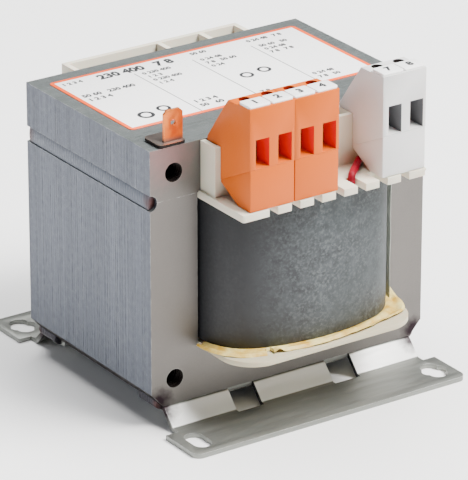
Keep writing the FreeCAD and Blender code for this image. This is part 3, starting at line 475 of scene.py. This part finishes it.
# Name, dark, light and edge colour, roughness and what differs from the plain moulding
PLASTICS = [
    ("orange_plastic", (198, 88, 0), (208, 96, 0), (224, 110, 0), 0.46),
    ("grey_plastic", (204, 203, 202), (220, 219, 218), (238, 238, 237), 0.4, 0.08, 0.05),
    ("bobbin_plastic", (206, 199, 180), (222, 216, 198), (244, 240, 226), 0.38, 0.15, 0.1,
     CORE_BOTTOM + 18.5 * MM),
    ("tag_plastic", (240, 240, 239), (250, 250, 249), (255, 255, 255), 0.3),
    # The last four are painted shade for wire entries, screw holes and bores.
    ("orange_entry_painted_shade", (206, 0, 0), (222, 6, 0), (226, 30, 0), 0.5),
    ("orange_shade", (110, 14, 0), (132, 22, 0), (150, 30, 0), 0.5),
    ("grey_entry_painted_shade", (92, 92, 94), (112, 112, 114), (150, 150, 150), 0.5),
    ("painted_hole_shade", (20, 14, 12), (34, 26, 24), (60, 50, 46), 0.6),
]
for plastic_values in PLASTICS:
    plastic_finish(*plastic_values)
print("plastics:", [values[0] for values in PLASTICS])

# %% [markdown]
# ** Mottled paper.** The wrap round the coil is an impregnated paper, grey-blue with pale and
# dark specks. Two noises of different size make the specks; a third one tints the paper in
# broad patches. Towards the left limb it is painted nearly black, a painted shade.

# %% Mottled paper
tree, shader = new_finish("wrap_paper", 0.62)
specks = place_group(tree, "grain", Fine_Scale=1100.0, Cloud_Scale=330.0)
patches = place_group(tree, "grain", Fine_Scale=2600.0, Cloud_Scale=48.0)
tone = mix_colours(tree, remap(tree, specks["Cloud"], 0.36, 0.66), (31, 35, 39), (60, 65, 68))
fine = mix_colours(tree, remap(tree, specks["Fine"], 0.45, 0.75), tone, (94, 100, 101))
broad = mix_colours(tree, remap(tree, patches["Cloud"], 0.4, 0.65, 0.0, 0.5), fine, (47, 55, 57))
# Towards the left limb the paper is painted nearly black, a painted shade.
sideways = split_axes(tree, object_position(tree))["X"]
painted_left_shade = remap(tree, sideways, -2 * MM, -25 * MM, 0.0, 0.92)
with_painted_left_shade = mix_colours(tree, painted_left_shade, broad, (10, 11, 17))
dress_shader(tree, shader, with_painted_left_shade, specks["Fine"], (0.52, 0.72))
add_bump(tree, shader, specks["Cloud"], 0.25, 0.12 * MM)
print("finish wrap_paper")

# %% [markdown]
# **Film, wire, brass and sleeve.** The remaining finishes are small on the object. A single
# colour would look painted on, so each is a cloudy mix of two tones, made by one function.

# %% Film, wire, brass and sleeve
def simple_finish(name, dark, light, roughness, metallic, cloud, bump, **plain):
    """Two tones in a cloudy mix with a fine bump."""
    tree, shader = new_finish(name, roughness, metallic, **plain)
    grain = place_group(tree, "grain", Fine_Scale=2400.0, Cloud_Scale=cloud)
    edges = place_group(tree, "worn_edges", Radius=0.2 * MM, Amount=0.4)
    tone = mix_colours(tree, remap(tree, grain["Cloud"], 0.35, 0.65), dark, light)
    bright = mix_colours(tree, edges["Mask"], tone, light)
    dress_shader(tree, shader, bright, grain["Fine"], (roughness - 0.05, roughness + 0.08))
    add_bump(tree, shader, grain["Fine"], bump, 0.04 * MM)


# Name, dark and light colour, roughness, metallic, scale of the clouds and bump
simple_finish("insulation_film", (194, 152, 52), (230, 214, 140), 0.36, 0.0, 190.0, 0.15,
              Specular_IOR_Level=0.3)
simple_finish("enamelled_wire", (120, 58, 26), (190, 104, 52), 0.3, 0.8, 400.0, 0.3)
simple_finish("clamp_steel", (150, 150, 152), (205, 205, 205), 0.3, 0.95, 300.0, 0.15)
simple_finish("tinned_brass", (180, 176, 166), (214, 212, 204), 0.34, 0.9, 300.0, 0.15)
simple_finish("red_sleeve", (112, 0, 24), (156, 0, 38), 0.5, 0.0, 260.0, 0.25, Specular_IOR_Level=0.2)
simple_finish("print_ink", (10, 11, 13), (40, 42, 46), 0.5, 0.0, 900.0, 0.05)
simple_finish("liner_film", (176, 184, 174), (206, 210, 200), 0.3, 0.0, 120.0, 0.1, Alpha=0.85)
print(len(finishes), "finishes so far")

# %% [markdown]
# **Earth tab.** The blade is copper-coloured, while the plate has dulled to a brownish grey.
# Two materials would meet in a hard line at the fold. A ramp along the height above the
# core gives the soft change that heat leaves.

# %% Earth tab's finish
tree, shader = new_finish("tab_brass", 0.36, 0.75)
grain = place_group(tree, "grain", Fine_Scale=2400.0, Cloud_Scale=160.0)
edges = place_group(tree, "worn_edges", Radius=0.2 * MM, Amount=0.8)
level = split_axes(tree, object_position(tree))["Z"]
blade = remap(tree, level, CORE_TOP + 1.0 * MM, CORE_TOP + 2.6 * MM)
cloud = remap(tree, grain["Cloud"], 0.35, 0.65)
copper = mix_colours(tree, cloud, (206, 88, 18), (232, 128, 52))
dull = mix_colours(tree, cloud, (84, 88, 87), (104, 108, 105))
tone = mix_colours(tree, blade, dull, copper)
bright = mix_colours(tree, edges["Mask"], tone, (255, 206, 160))
dress_shader(tree, shader, bright, grain["Fine"], (0.3, 0.44))
add_bump(tree, shader, grain["Fine"], 0.12, 0.04 * MM)
print("finish tab_brass")

# %% [markdown]
# **Label film.** A box mask tells inside from outside of a rectangle. One large box leaves
# the orange border outside it, and three thin ones draw the column lines. The mask is a
# group, so each rectangle costs one node and two vectors.

# %% Label film
group, entry, leave = start_group(
    "box_mask", {"Centre": (0, 0, 0), "Half": (0.01, 0.01, 0.01), "Soft": 0.05 * MM}, ["Mask"])
offset = vector_step(group, "SUBTRACT", object_position(group), entry["Centre"])["Vector"]
size = vector_step(group, "ABSOLUTE", offset)["Vector"]
outside = split_axes(group, vector_step(group, "SUBTRACT", size, entry["Half"])["Vector"])
farthest = arithmetic(group, "MAXIMUM", outside["X"], outside["Y"])
share = arithmetic(group, "DIVIDE", farthest, entry["Soft"])
join(group, (remap(group, share, 0.5, -0.5), leave["Mask"]))

LABEL_BORDER = 1.3 * MM
COLUMN_LINES = [-18.5 * MM, 2.0 * MM, 23.0 * MM]
COLUMN_LINE_BACK = 20.5 * MM
COLUMN_LINE_HALF = 0.17 * MM

tree, shader = new_finish("label_film", 0.3, Coat_Weight=0.25)
grain = place_group(tree, "grain", Fine_Scale=1800.0, Cloud_Scale=30.0)
half = (label_high - label_low) / 2
inner = place_group(tree, "box_mask", Centre=(label_low + label_high) / 2,
                    Half=(half.x - LABEL_BORDER, half.y - LABEL_BORDER, 1))
paper = mix_colours(tree, grain["Cloud"], (250, 250, 250), (255, 255, 255))
orange = mix_colours(tree, grain["Cloud"], (240, 84, 20), (248, 96, 34))
colour = mix_colours(tree, inner["Mask"], orange, paper)
line_front = label_low.y + LABEL_BORDER
line_half = (COLUMN_LINE_HALF, (COLUMN_LINE_BACK - line_front) / 2, 1)
for x in COLUMN_LINES:
    centre = (x, (line_front + COLUMN_LINE_BACK) / 2, 0)
    line = place_group(tree, "box_mask", Centre=centre, Half=line_half)
    colour = mix_colours(tree, line["Mask"], colour, (84, 86, 88))
dress_shader(tree, shader, colour, grain["Fine"], (0.26, 0.36))
print("finish label_film, drawn with group", group.name)

# %% [markdown]
# ## Working on a copy of a node
#
# A node's mesh is loose triangles. To give a piece soft edges, a copy is merged, its flat
# faces are joined again and a narrow bevel is applied. The copy then stands for the node.
# Smooth shading alone would be quicker, but only a true round catches a line of light.

# %% Copy, merge and soften
def select_only(thing):
    bpy.ops.object.select_all(action="DESELECT")
    thing.select_set(True)
    bpy.context.view_layer.objects.active = thing


def merged_copy(node, name):
    """A copy of a node with its triangles merged into flat faces."""
    select_only(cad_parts[node])
    bpy.ops.object.duplicate()
    piece = bpy.context.object
    piece.name = name
    for key in list(piece.keys()):
        del piece[key]
    piece.data.materials.clear()
    bpy.ops.object.mode_set(mode="EDIT")
    bpy.ops.mesh.select_all(action="SELECT")
    bpy.ops.mesh.remove_doubles(threshold=2e-6)
    bpy.ops.mesh.dissolve_limited(angle_limit=math.radians(0.6))
    bpy.ops.object.mode_set(mode="OBJECT")
    return piece


def apply_modifier(piece, kind, **settings):
    """Adds a modifier to the piece and applies it."""
    select_only(piece)
    modifier = piece.modifiers.new(kind.lower(), kind)
    for key, value in settings.items():
        setattr(modifier, key, value)
    bpy.ops.object.modifier_apply(modifier=modifier.name)


def soften(piece, width, segments=2):
    """A narrow round on every sharp edge, then smooth shading over it."""
    apply_modifier(piece, "BEVEL", width=width, segments=segments, limit_method="ANGLE",
                   angle_limit=math.radians(35))
    bpy.ops.object.shade_smooth_by_angle(angle=math.radians(50))


def finish_piece(piece, finish, *nodes, slot=None):
    """Gives the piece its finish and lets it stand for its nodes; slot is not used."""
    piece.data.materials.clear()
    piece.data.materials.append(finishes[finish])
    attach(piece, "root")
    if nodes:
        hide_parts(*nodes)


def triangles(piece):
    piece.data.calc_loop_triangles()
    return len(piece.data.loop_triangles)


print("copying helpers are ready")

# %% [markdown]
# Edit mode works on what is selected, and the origin has to stay in the middle of the
# model, because every pattern is measured from there. These helpers select by place, put a
# piece's own place into its mesh, join pieces and turn their faces outwards.

# %% More helpers for modelling
def move_corners(piece, wanted, shift):
    """Moves the corners that the test picks by their place."""
    select_only(piece)
    bpy.ops.object.mode_set(mode="EDIT")
    bpy.ops.mesh.select_mode(type="VERT")
    bpy.ops.mesh.select_all(action="DESELECT")
    bpy.ops.object.mode_set(mode="OBJECT")
    for corner in piece.data.vertices:
        corner.select = wanted(corner.co)
    bpy.ops.object.mode_set(mode="EDIT")
    bpy.ops.transform.translate(value=shift)
    bpy.ops.object.mode_set(mode="OBJECT")


def apply_place(piece):
    """Puts location, turn and scale into the mesh, so that the origin stays in the middle."""
    select_only(piece)
    bpy.ops.object.transform_apply(location=True, rotation=True, scale=True)


def join_pieces(pieces, name):
    bpy.ops.object.select_all(action="DESELECT")
    for piece in pieces:
        piece.select_set(True)
    bpy.context.view_layer.objects.active = pieces[0]
    bpy.ops.object.join()
    pieces[0].name = name
    return pieces[0]


def face_outwards(piece, smooth_below):
    """Turns all faces outwards and smooths the edges under the angle, in degrees."""
    select_only(piece)
    bpy.ops.object.mode_set(mode="EDIT")
    bpy.ops.mesh.select_all(action="SELECT")
    bpy.ops.mesh.normals_make_consistent(inside=False)
    bpy.ops.object.mode_set(mode="OBJECT")
    bpy.ops.object.shade_smooth_by_angle(angle=math.radians(smooth_below))


def second_finish(piece, finish, wanted):
    """Gives the faces that the test picks another finish and tells how many they are."""
    piece.data.materials.append(finishes[finish])
    place = len(piece.data.materials) - 1
    chosen = [face for face in piece.data.polygons if wanted(face.center, face.normal)]
    for face in chosen:
        face.material_index = place
    return len(chosen)


print("modelling helpers are ready")

# %% [markdown]
# ## Core
#
# The real core is a pile of punched sheets, 0.5 mm thick. Each sheet slips a few hundredths
# of a millimetre while the pile is pressed and welded, and that slip is what makes the cut
# edges glitter in fine lines. One sheet is squeezed out of the stack's copy, then copied
# along the stack with its own small slip. The first and the last sheet stay in place.

# %% Single sheets
SHEET = 0.5 * MM
SHEET_FILL = 0.93
SLIP = 0.012 * MM
SIDE_RIM = 1.2 * MM
END_RIM = 1.5 * MM
CORNER_FIELD = 14 * MM


def in_bore(place, normal):
    """True for the wall of a corner hole: inside the outline and not facing along Y."""
    sideways = HALF_CORE - CORNER_FIELD < abs(place.x) < HALF_CORE - SIDE_RIM
    lower = CORE_BOTTOM + END_RIM < place.z < CORE_BOTTOM + CORNER_FIELD
    upper = JOINT + END_RIM < place.z < CORE_TOP - END_RIM
    return abs(normal.y) < 0.5 and sideways and (lower or upper)


def sheet_stack(node, name):
    """Squeezes one sheet out of a stack's copy and copies it along the stack."""
    low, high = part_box(node)
    count = round((high.y - low.y) / SHEET)
    sheet = merged_copy(node, name)
    sheet.scale.y = SHEET_FILL * SHEET / (high.y - low.y)
    apply_place(sheet)
    sheets = [sheet]
    for index in range(1, count):
        select_only(sheet)
        bpy.ops.object.duplicate()
        slip = SLIP if index < count - 1 else 0
        copy = bpy.context.object
        copy.location = (random.gauss(0, slip), low.y + (index + 0.5) * SHEET, random.gauss(0, slip))
        sheets.append(copy)
    sheet.location.y = low.y + 0.5 * SHEET
    stack = join_pieces(sheets, name)
    apply_place(stack)
    finish_piece(stack, "lamination_steel", node)
    # The walls of the corner holes get a painted shade, nearly black.
    dark = second_finish(stack, "painted_hole_shade", in_bore)
    print(name, count, "sheets,", triangles(stack), "triangles,", dark, "faces in the bores")


random.seed(7)
sheet_stack("e_lamination_stack", "e_sheets")
sheet_stack("i_lamination_stack", "i_sheets")

# %% [markdown]
# The joint between E and I sheets is closed by a weld bead in a round groove. The welder
# moves on in small steps, so the bead has ripples, which the finish draws. The bead fills
# the groove nearly flush, so its copy is widened to the groove's rims and its round outer
# face is lifted and flattened. At its ends the steel is brown from the heat.

# %% Beads of the joint and of the feet
BEAD_SPREAD = 1.36
BEAD_FLATTEN = 0.4
BEAD_FACE = 1.0 * MM


def swollen_bead(node):
    """A bead widened to the rims of its groove, with a flatter outer face."""
    bead = merged_copy(node, node + "_bead")
    low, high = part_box(node)
    side = math.copysign(1, low.x)
    crown = max(abs(low.x), abs(high.x))
    for corner in bead.data.vertices:
        depth = crown - abs(corner.co.x)
        if depth < BEAD_FACE:
            corner.co.x = side * (HALF_CORE - BEAD_FLATTEN * depth)
        corner.co.z = JOINT + BEAD_SPREAD * (corner.co.z - JOINT)
    soften(bead, 0.1 * MM)
    finish_piece(bead, "weld_metal", node)


for node in ("left_joint_weld", "right_joint_weld"):
    swollen_bead(node)
for side in ("front", "rear"):
    for end in ("left", "right"):
        node = f"{side}_{end}_foot_weld"
        bead = merged_copy(node, node + "_bead")
        soften(bead, 0.3 * MM)
        finish_piece(bead, "burnt_weld", node)
print("beads are in their grooves")

# %% [markdown]
# ## Feet
#
# Each foot is one bent sheet with punched slots. It could be laid out flat and bent by a
# modifier, but the imported solid has the true bends, so its copy is only softened. Punching
# rounds the upper edge a little and leaves the lower one sharp; at this size one narrow
# round looks the same. The walls of the openings are painted dark, a painted shade.

# %% Feet
PLATE_LEVEL = 1.0 * MM
FOOT_ENDS = HALF_CORE - 6 * MM


def in_web_opening(place, normal):
    """True for the side walls of an opening in the web."""
    return abs(normal.x) > 0.7 and place.z > PLATE_LEVEL and abs(place.x) < FOOT_ENDS


for node in ("front_foot_bracket", "rear_foot_bracket"):
    foot = merged_copy(node, node + "_sheet")
    soften(foot, 0.14 * MM)
    finish_piece(foot, "foot_steel", node)
    # The walls of the openings get a painted shade.
    second_finish(foot, "painted_shade_cut_edge", in_web_opening)
    print(foot.name, triangles(foot), "triangles")

# %% [markdown]
# ## Bobbin
#
# The bobbin is one natural-coloured moulding with small rounds from the mould. Building it
# again from boxes would lose the comb and the pin holes, so it too is a softened copy.

# %% Bobbin
bobbin = merged_copy("bobbin", "bobbin_moulding")
soften(bobbin, 0.22 * MM)
finish_piece(bobbin, "bobbin_plastic", "bobbin")
print(bobbin.name, triangles(bobbin), "triangles")

# %% [markdown]
# ## Coil
#
# The paper wrap ends just above the lower flange, and the copper under it shows as a dark
# brown line. So the wrap's copy is shortened at its lower edge while the winding under it
# keeps its length.

# %% Wrap and windings
WRAP_GAP = 0.6 * MM

wrap = merged_copy("outer_wrap", "paper_wrap")
move_corners(wrap, lambda place: place.z < wrap_low.z + 0.01 * MM, (0, 0, WRAP_GAP))
soften(wrap, 0.1 * MM)
finish_piece(wrap, "wrap_paper", "outer_wrap")

COIL_FINISHES = {
    "primary_winding": "enamelled_wire", "secondary_winding": "enamelled_wire",
    "winding_barrier": "insulation_film"}
for node, finish in COIL_FINISHES.items():
    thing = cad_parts[node]
    thing.data.materials.clear()
    thing.data.materials.append(finishes[finish])
print("wrap ends", round(WRAP_GAP / MM, 2), "mm above the flange")

# %% [markdown]
# The lower end of the coil stands in a folded film. Its free edge is spread out on the
# flange, creased and notched by hand. It is a grid laid along the wrap's outline: one
# direction follows the outline, the other runs outwards. Waves of several lengths crease it,
# and the end on the right is folded up against the coil.

# %% Creased film
WRAP_CROWN = 2.3 * MM
FILM_STEPS = 150
FILM_ROWS = 8
FILM_SHEET = 0.12 * MM
FILM_LEVEL = wrap_low.z + FILM_SHEET
FILM_TUCK = 0.25 * MM
OUTLINE_START = math.radians(8)


def wrap_arcs():
    """Centre, radius, first and last angle of the wrap's arcs, from the right to the left end."""
    half = wrap_high.x
    build = FRONT_FACE - wrap_low.y
    corner = build - WRAP_CROWN
    wide = (half ** 2 + build ** 2 - 2 * half * corner) / (2 * WRAP_CROWN)
    meet = math.atan2(wrap_low.y + wide - FRONT_FACE, half - corner)
    return [
        (Vector((half - corner, FRONT_FACE)), corner, OUTLINE_START, meet),
        (Vector((0, wrap_low.y + wide)), wide, meet, math.pi - meet),
        (Vector((corner - half, FRONT_FACE)), corner, math.pi - meet, math.pi - OUTLINE_START),
    ]


def wrap_outline(share, distance):
    """A point in front of the wrap; share runs from 0 at the left to 1 at the right end."""
    arcs = wrap_arcs()
    travel = (1 - share) * sum(radius * (last - first) for _, radius, first, last in arcs)
    for centre, radius, first, last in arcs[:-1]:
        if travel < radius * (last - first):
            break
        travel -= radius * (last - first)
    else:
        centre, radius, first, last = arcs[-1]
    turn = first + travel / radius
    return centre + Vector((math.cos(turn), -math.sin(turn))) * (radius + distance)


def hump(share, middle, spread):
    """A smooth hill of height 1."""
    return math.exp(-((share - middle) / spread) ** 2)


def film_width(share):
    """Width of the film, with a notch near the left end and wider folds at the corners."""
    width = 3.5 + 1.7 * hump(share, 0.14, 0.08) + 2.2 * hump(share, 0.87, 0.08)
    width += 0.16 * math.sin(share * 31) + 0.08 * math.sin(share * 83)
    if 0.245 < share < 0.262:
        width *= 0.35
    return width * MM


def film_lift(share, row):
    """Height of the creased film above the flange; row runs from 0 at the wrap to 1."""
    crease = 0.42 * math.sin(row * 9.5 + share * 7)
    crease += 0.1 * math.sin(share * 37 - row * 3) + 0.05 * math.sin(share * 151)
    fold = 1.3 * hump(share, 0.285, 0.016) * row
    right_end = max(0.0, (share - 0.93) / 0.07)
    stand = right_end ** 1.6 * 5.2 * (0.3 + 0.7 * (1 - row))
    return (0.42 + crease * (0.4 + 0.6 * row) + fold + stand) * MM


bpy.ops.mesh.primitive_grid_add(x_subdivisions=FILM_STEPS, y_subdivisions=FILM_ROWS, size=1)
film = bpy.context.object
film.name = "creased_film"
for corner in film.data.vertices:
    share, row = corner.co.x + 0.5, corner.co.y + 0.5
    flat = wrap_outline(share, -FILM_TUCK + row * (film_width(share) + FILM_TUCK))
    corner.co = (flat.x, flat.y, FILM_LEVEL + film_lift(share, row))
apply_modifier(film, "SOLIDIFY", thickness=FILM_SHEET, offset=1.0)
face_outwards(film, 30)
finish_piece(film, "insulation_film", "insulation_cuff")
print("film has", triangles(film), "triangles")

# %% [markdown]
# A liner of clear film stands between coil and right limb. Its edge shows as a pale upright
# line beside the wrap. A flat plate would look stiff, so a grid is laid as a slightly wavy
# sheet and gets its thickness from Solidify.

# %% Slot liner
LINER_REACH = 7.0 * MM
LINER_HIDDEN = 1.0 * MM
LINER_HEIGHT = 43.9 * MM

bpy.ops.mesh.primitive_grid_add(x_subdivisions=12, y_subdivisions=24, size=1)
liner = bpy.context.object
liner.name = "slot_liner"
for corner in liner.data.vertices:
    out, up = corner.co.x + 0.5, corner.co.y + 0.5
    wave = 0.07 * math.sin(up * 17) * out
    corner.co = (wrap_high.x + (0.35 - 0.2 * out ** 2 + wave) * MM,
                 FRONT_FACE + LINER_HIDDEN - out * (LINER_REACH + LINER_HIDDEN),
                 wrap_low.z + 0.4 * MM + up * LINER_HEIGHT)
apply_modifier(liner, "SOLIDIFY", thickness=0.1 * MM, offset=0.0)
face_outwards(liner, 30)
finish_piece(liner, "liner_film", slot="insulation_film")
print("liner stands beside the wrap")

# %% [markdown]
# ## Terminal blocks
#
# Housing and base of a block meet in a parting line. Both have the same fine mould rounds.
# Inside the wire entries the plastic lights itself with its own colour again and again, so
# the walls look deeper and redder than the outside. Those faces get a painted shade of their
# own, and so do the screw holes.

# %% Housings and bases
POLES = [1, 2, 3, 4, 7, 8]
MOULD_ROUND = 0.16 * MM
ENTRY_MARGIN = 0.25 * MM
CAGE_MARGIN = 0.3 * MM
SCREW_HOLE = 1.75 * MM
entry_boxes, screw_axes = [], []
for pole in POLES:
    cage_low, cage_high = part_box(f"clamp_cage_{pole}")
    entry_boxes.append((cage_low, cage_high))
    screw_low, screw_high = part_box(f"clamp_screw_{pole}")
    screw_axes.append((screw_low + screw_high) / 2)


def in_entry(place, normal, front):
    """True for the side walls of a wire entry, which lie close round a clamp cage."""
    return place.y > front + ENTRY_MARGIN and abs(normal.x) > 0.5 and any(
        low.x - CAGE_MARGIN < place.x < high.x + CAGE_MARGIN
        and low.z - CAGE_MARGIN < place.z < high.z + CAGE_MARGIN for low, high in entry_boxes)


def in_screw_hole(place, normal):
    """True for the wall of the round hole over a clamp screw."""
    return abs(normal.z) < 0.5 and any(
        place.z > axis.z and math.hypot(place.x - axis.x, place.y - axis.y) < SCREW_HOLE
        for axis in screw_axes)


def mould(node, plastic):
    """The rounded copy of a housing or base."""
    moulding = merged_copy(node, node + "_moulding")
    soften(moulding, MOULD_ROUND)
    finish_piece(moulding, plastic, node)
    return moulding


# Block, its plastic, and the painted shade in its wire entries and in its screw holes
BLOCKS = [
    ("orange_left", "orange_plastic", "orange_entry_painted_shade", "orange_shade"),
    ("orange_right", "orange_plastic", "orange_entry_painted_shade", "orange_shade"),
    ("grey", "grey_plastic", "grey_entry_painted_shade", "painted_hole_shade"),
]
for block, plastic, inside, hole_wall in BLOCKS:
    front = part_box(block + "_terminal_housing")[0].y
    housing = mould(block + "_terminal_housing", plastic)
    walls = second_finish(housing, inside, lambda place, normal: in_entry(place, normal, front))
    holes = second_finish(housing, hole_wall, in_screw_hole)
    base = mould(block + "_terminal_base", plastic)
    print(block, triangles(housing) + triangles(base), "triangles")
    print(block, walls, "faces in entries,", holes, "in screw holes")

# %% [markdown]
# Every pole has a clamp cage, a slotted screw, a solder pin and a white tag on the rail, so
# one loop dresses them all. The tags carry plain numbers, set as text and turned into thin
# raised print.

# %% Clamps, pins and tags
PRINT_LIFT = 0.015 * MM
TAG_DIGIT = 3.6 * MM
# Node, finish and width of the rounds
POLE_PIECES = [
    ("clamp_cage", "clamp_steel", 0.06 * MM), ("clamp_screw", "clamp_steel", 0.06 * MM),
    ("solder_pin", "tinned_brass", 0.05 * MM), ("marker_tag", "tag_plastic", 0.12 * MM),
]


def raised_digits(digits, place, size, stroke, height, steps, align=("LEFT", "TOP_BASELINE")):
    """Digits set as text, with fuller strokes, turned into a thin raised mesh."""
    bpy.ops.object.text_add(location=place)
    text = bpy.context.object.data
    text.body = digits
    text.size = size
    text.offset = stroke
    text.extrude = height
    text.resolution_u = steps
    text.align_x, text.align_y = align
    bpy.ops.object.convert(target="MESH")
    return bpy.context.object


def number_on(tag_node, digits):
    """A plain number printed on the top of a tag."""
    low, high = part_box(tag_node)
    middle = ((low.x + high.x) / 2, (low.y + high.y) / 2, high.z + PRINT_LIFT)
    number = raised_digits(digits, middle, TAG_DIGIT, 0.2 * MM, 0.01 * MM, 4, ("CENTER", "CENTER"))
    number.name = tag_node + "_number"
    apply_place(number)
    finish_piece(number, "print_ink", slot="tag_plastic")


for pole in POLES:
    for kind, finish, width in POLE_PIECES:
        node = f"{kind}_{pole}"
        piece = merged_copy(node, node + "_dressed")
        soften(piece, width)
        finish_piece(piece, finish, node)
    number_on(f"marker_tag_{pole}", str(pole))
print("poles", POLES, "are fitted")

# %% [markdown]
# ## Earth tab
#
# The tab is folded from thin copper-coloured sheet and spot-welded to the core. The plate
# doesn't lie flat: a narrow dark gap runs under its front edge. The copy is lifted by that
# gap, and a small weld nugget joins plate and core. The plate's side faces are painted nearly
# black, a painted shade for that gap.

# %% Earth tab
TAB_GAP = 0.3 * MM
PLATE_TOP = CORE_TOP + TAB_GAP + 0.72 * MM
NUGGET_RADIUS = 1.6 * MM
NUGGET_SET = 5.6 * MM

tab = merged_copy("earth_tab", "folded_tab")
tab.location.z = TAB_GAP
apply_place(tab)
soften(tab, 0.12 * MM, segments=3)
finish_piece(tab, "tab_brass", "earth_tab")
tab_low, tab_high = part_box("earth_tab")
# The plate's side faces get a painted shade, nearly black, for the gap under it.
second_finish(tab, "painted_hole_shade", lambda place, normal: place.z < PLATE_TOP and normal.z < 0.5)

bpy.ops.mesh.primitive_cylinder_add(
    vertices=32, radius=NUGGET_RADIUS, depth=TAB_GAP * 1.2,
    location=((tab_low.x + tab_high.x) / 2, tab_low.y + NUGGET_SET, CORE_TOP + TAB_GAP / 2))
nugget = bpy.context.object
nugget.name = "tab_weld_nugget"
apply_place(nugget)
soften(nugget, 0.08 * MM)
finish_piece(nugget, "weld_metal", slot="tab_brass")
print("tab stands", round(TAB_GAP / MM, 2), "mm off the core")

# %% [markdown]
# ## Label
#
# The label is a white film with an orange border and thin column lines, which the finish
# draws. Its print is rows of plain digits: the numbers of the poles, round voltages and
# frequencies. Text objects give them true forms, and each is turned into a thin mesh.

# %% Label
label = merged_copy("rating_label", "printed_label")
soften(label, 0.05 * MM)
finish_piece(label, "label_film", "rating_label")


def print_digits(digits, left, level, size):
    """Plain digits on the label; place and size in millimetres."""
    place = (left * MM, level * MM, label_high.z + PRINT_LIFT)
    return raised_digits(digits, place, size * MM, 0.05 * size * MM, 0.005 * MM, 2)


# Digits, left end, Y of the foot line and size of each row, in millimetres
PRINTED_ROWS = [
    ("1 2 3 4", -41, 23.4, 2.4), ("230 400   7 8", -29, 22.0, 4.8), ("50 60", 4, 23.8, 2.4),
    ("0 24 48   7 8", 24, 23.4, 2.4),
    ("50 60   230 400", -41, 12.2, 2.8), ("1 2 3 4", -41, 8.8, 2.8),
    ("0 230 400", -16.5, 18.2, 2.4), ("1 2 3", -16.5, 15.2, 2.4), ("0 230 400", -16.5, 12.2, 2.4),
    ("1 2 4", -16.5, 9.2, 2.4),
    ("0 24 48", 4, 18.2, 2.4), ("7 8   50 60", 4, 15.2, 2.4), ("0 24", 4, 12.2, 2.4),
    ("50 60   50", 25, 18.2, 2.4), ("0 24 48", 25, 15.2, 2.4), ("7 8   7 8", 25, 12.2, 2.4),
    ("1 2 3 4", -16.5, -9.2, 2.8), ("50   60", -16.5, -12.6, 2.8), ("7 8", 4, -13.4, 2.6),
    ("0 24 48", 25, -9.6, 2.4), ("7 8   50", 25, -12.8, 2.4),
]
label_print = join_pieces([print_digits(*row) for row in PRINTED_ROWS], "label_print")
apply_place(label_print)
finish_piece(label_print, "print_ink", slot="label_film")
print("label has", len(PRINTED_ROWS), "rows of digits")

# %% [markdown]
# Four rings fill free places of the label. A circle's face is inset and the middle one is
# deleted, which leaves a flat ring. A torus would stand too high for print.

# %% Plain shapes on the label
# X, Y and radius of each ring, in millimetres
RINGS = [(-33.5, -9.0, 2.6), (-26.5, -7.4, 2.2), (8.4, 1.2, 2.2), (15.2, 2.2, 2.2)]
RING_SHARE = 0.42
rings = []
for x, y, radius in RINGS:
    bpy.ops.mesh.primitive_circle_add(vertices=40, radius=radius * MM, fill_type="NGON",
                                      location=(x * MM, y * MM, label_high.z + PRINT_LIFT))
    rings.append(bpy.context.object)
    bpy.ops.object.mode_set(mode="EDIT")
    bpy.ops.mesh.select_all(action="SELECT")
    bpy.ops.mesh.inset(thickness=radius * RING_SHARE * MM)
    bpy.ops.mesh.delete(type="FACE")
    bpy.ops.object.mode_set(mode="OBJECT")
label_shapes = join_pieces(rings, "label_shapes")
apply_place(label_shapes)
finish_piece(label_shapes, "print_ink", slot="label_film")
print(len(RINGS), "rings on the label")

# %% [markdown]
# ## Lead
#
# The lead in its red sleeve comes up through a wire slot and dives under the grey block. A
# curve with a round bevel would do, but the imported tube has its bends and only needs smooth
# shading and its own red.

# %% Lead
lead = merged_copy("red_sleeved_lead", "sleeved_lead")
select_only(lead)
bpy.ops.object.shade_smooth_by_angle(angle=math.radians(40))
finish_piece(lead, "red_sleeve", "red_sleeved_lead")
print("lead has", triangles(lead), "triangles")
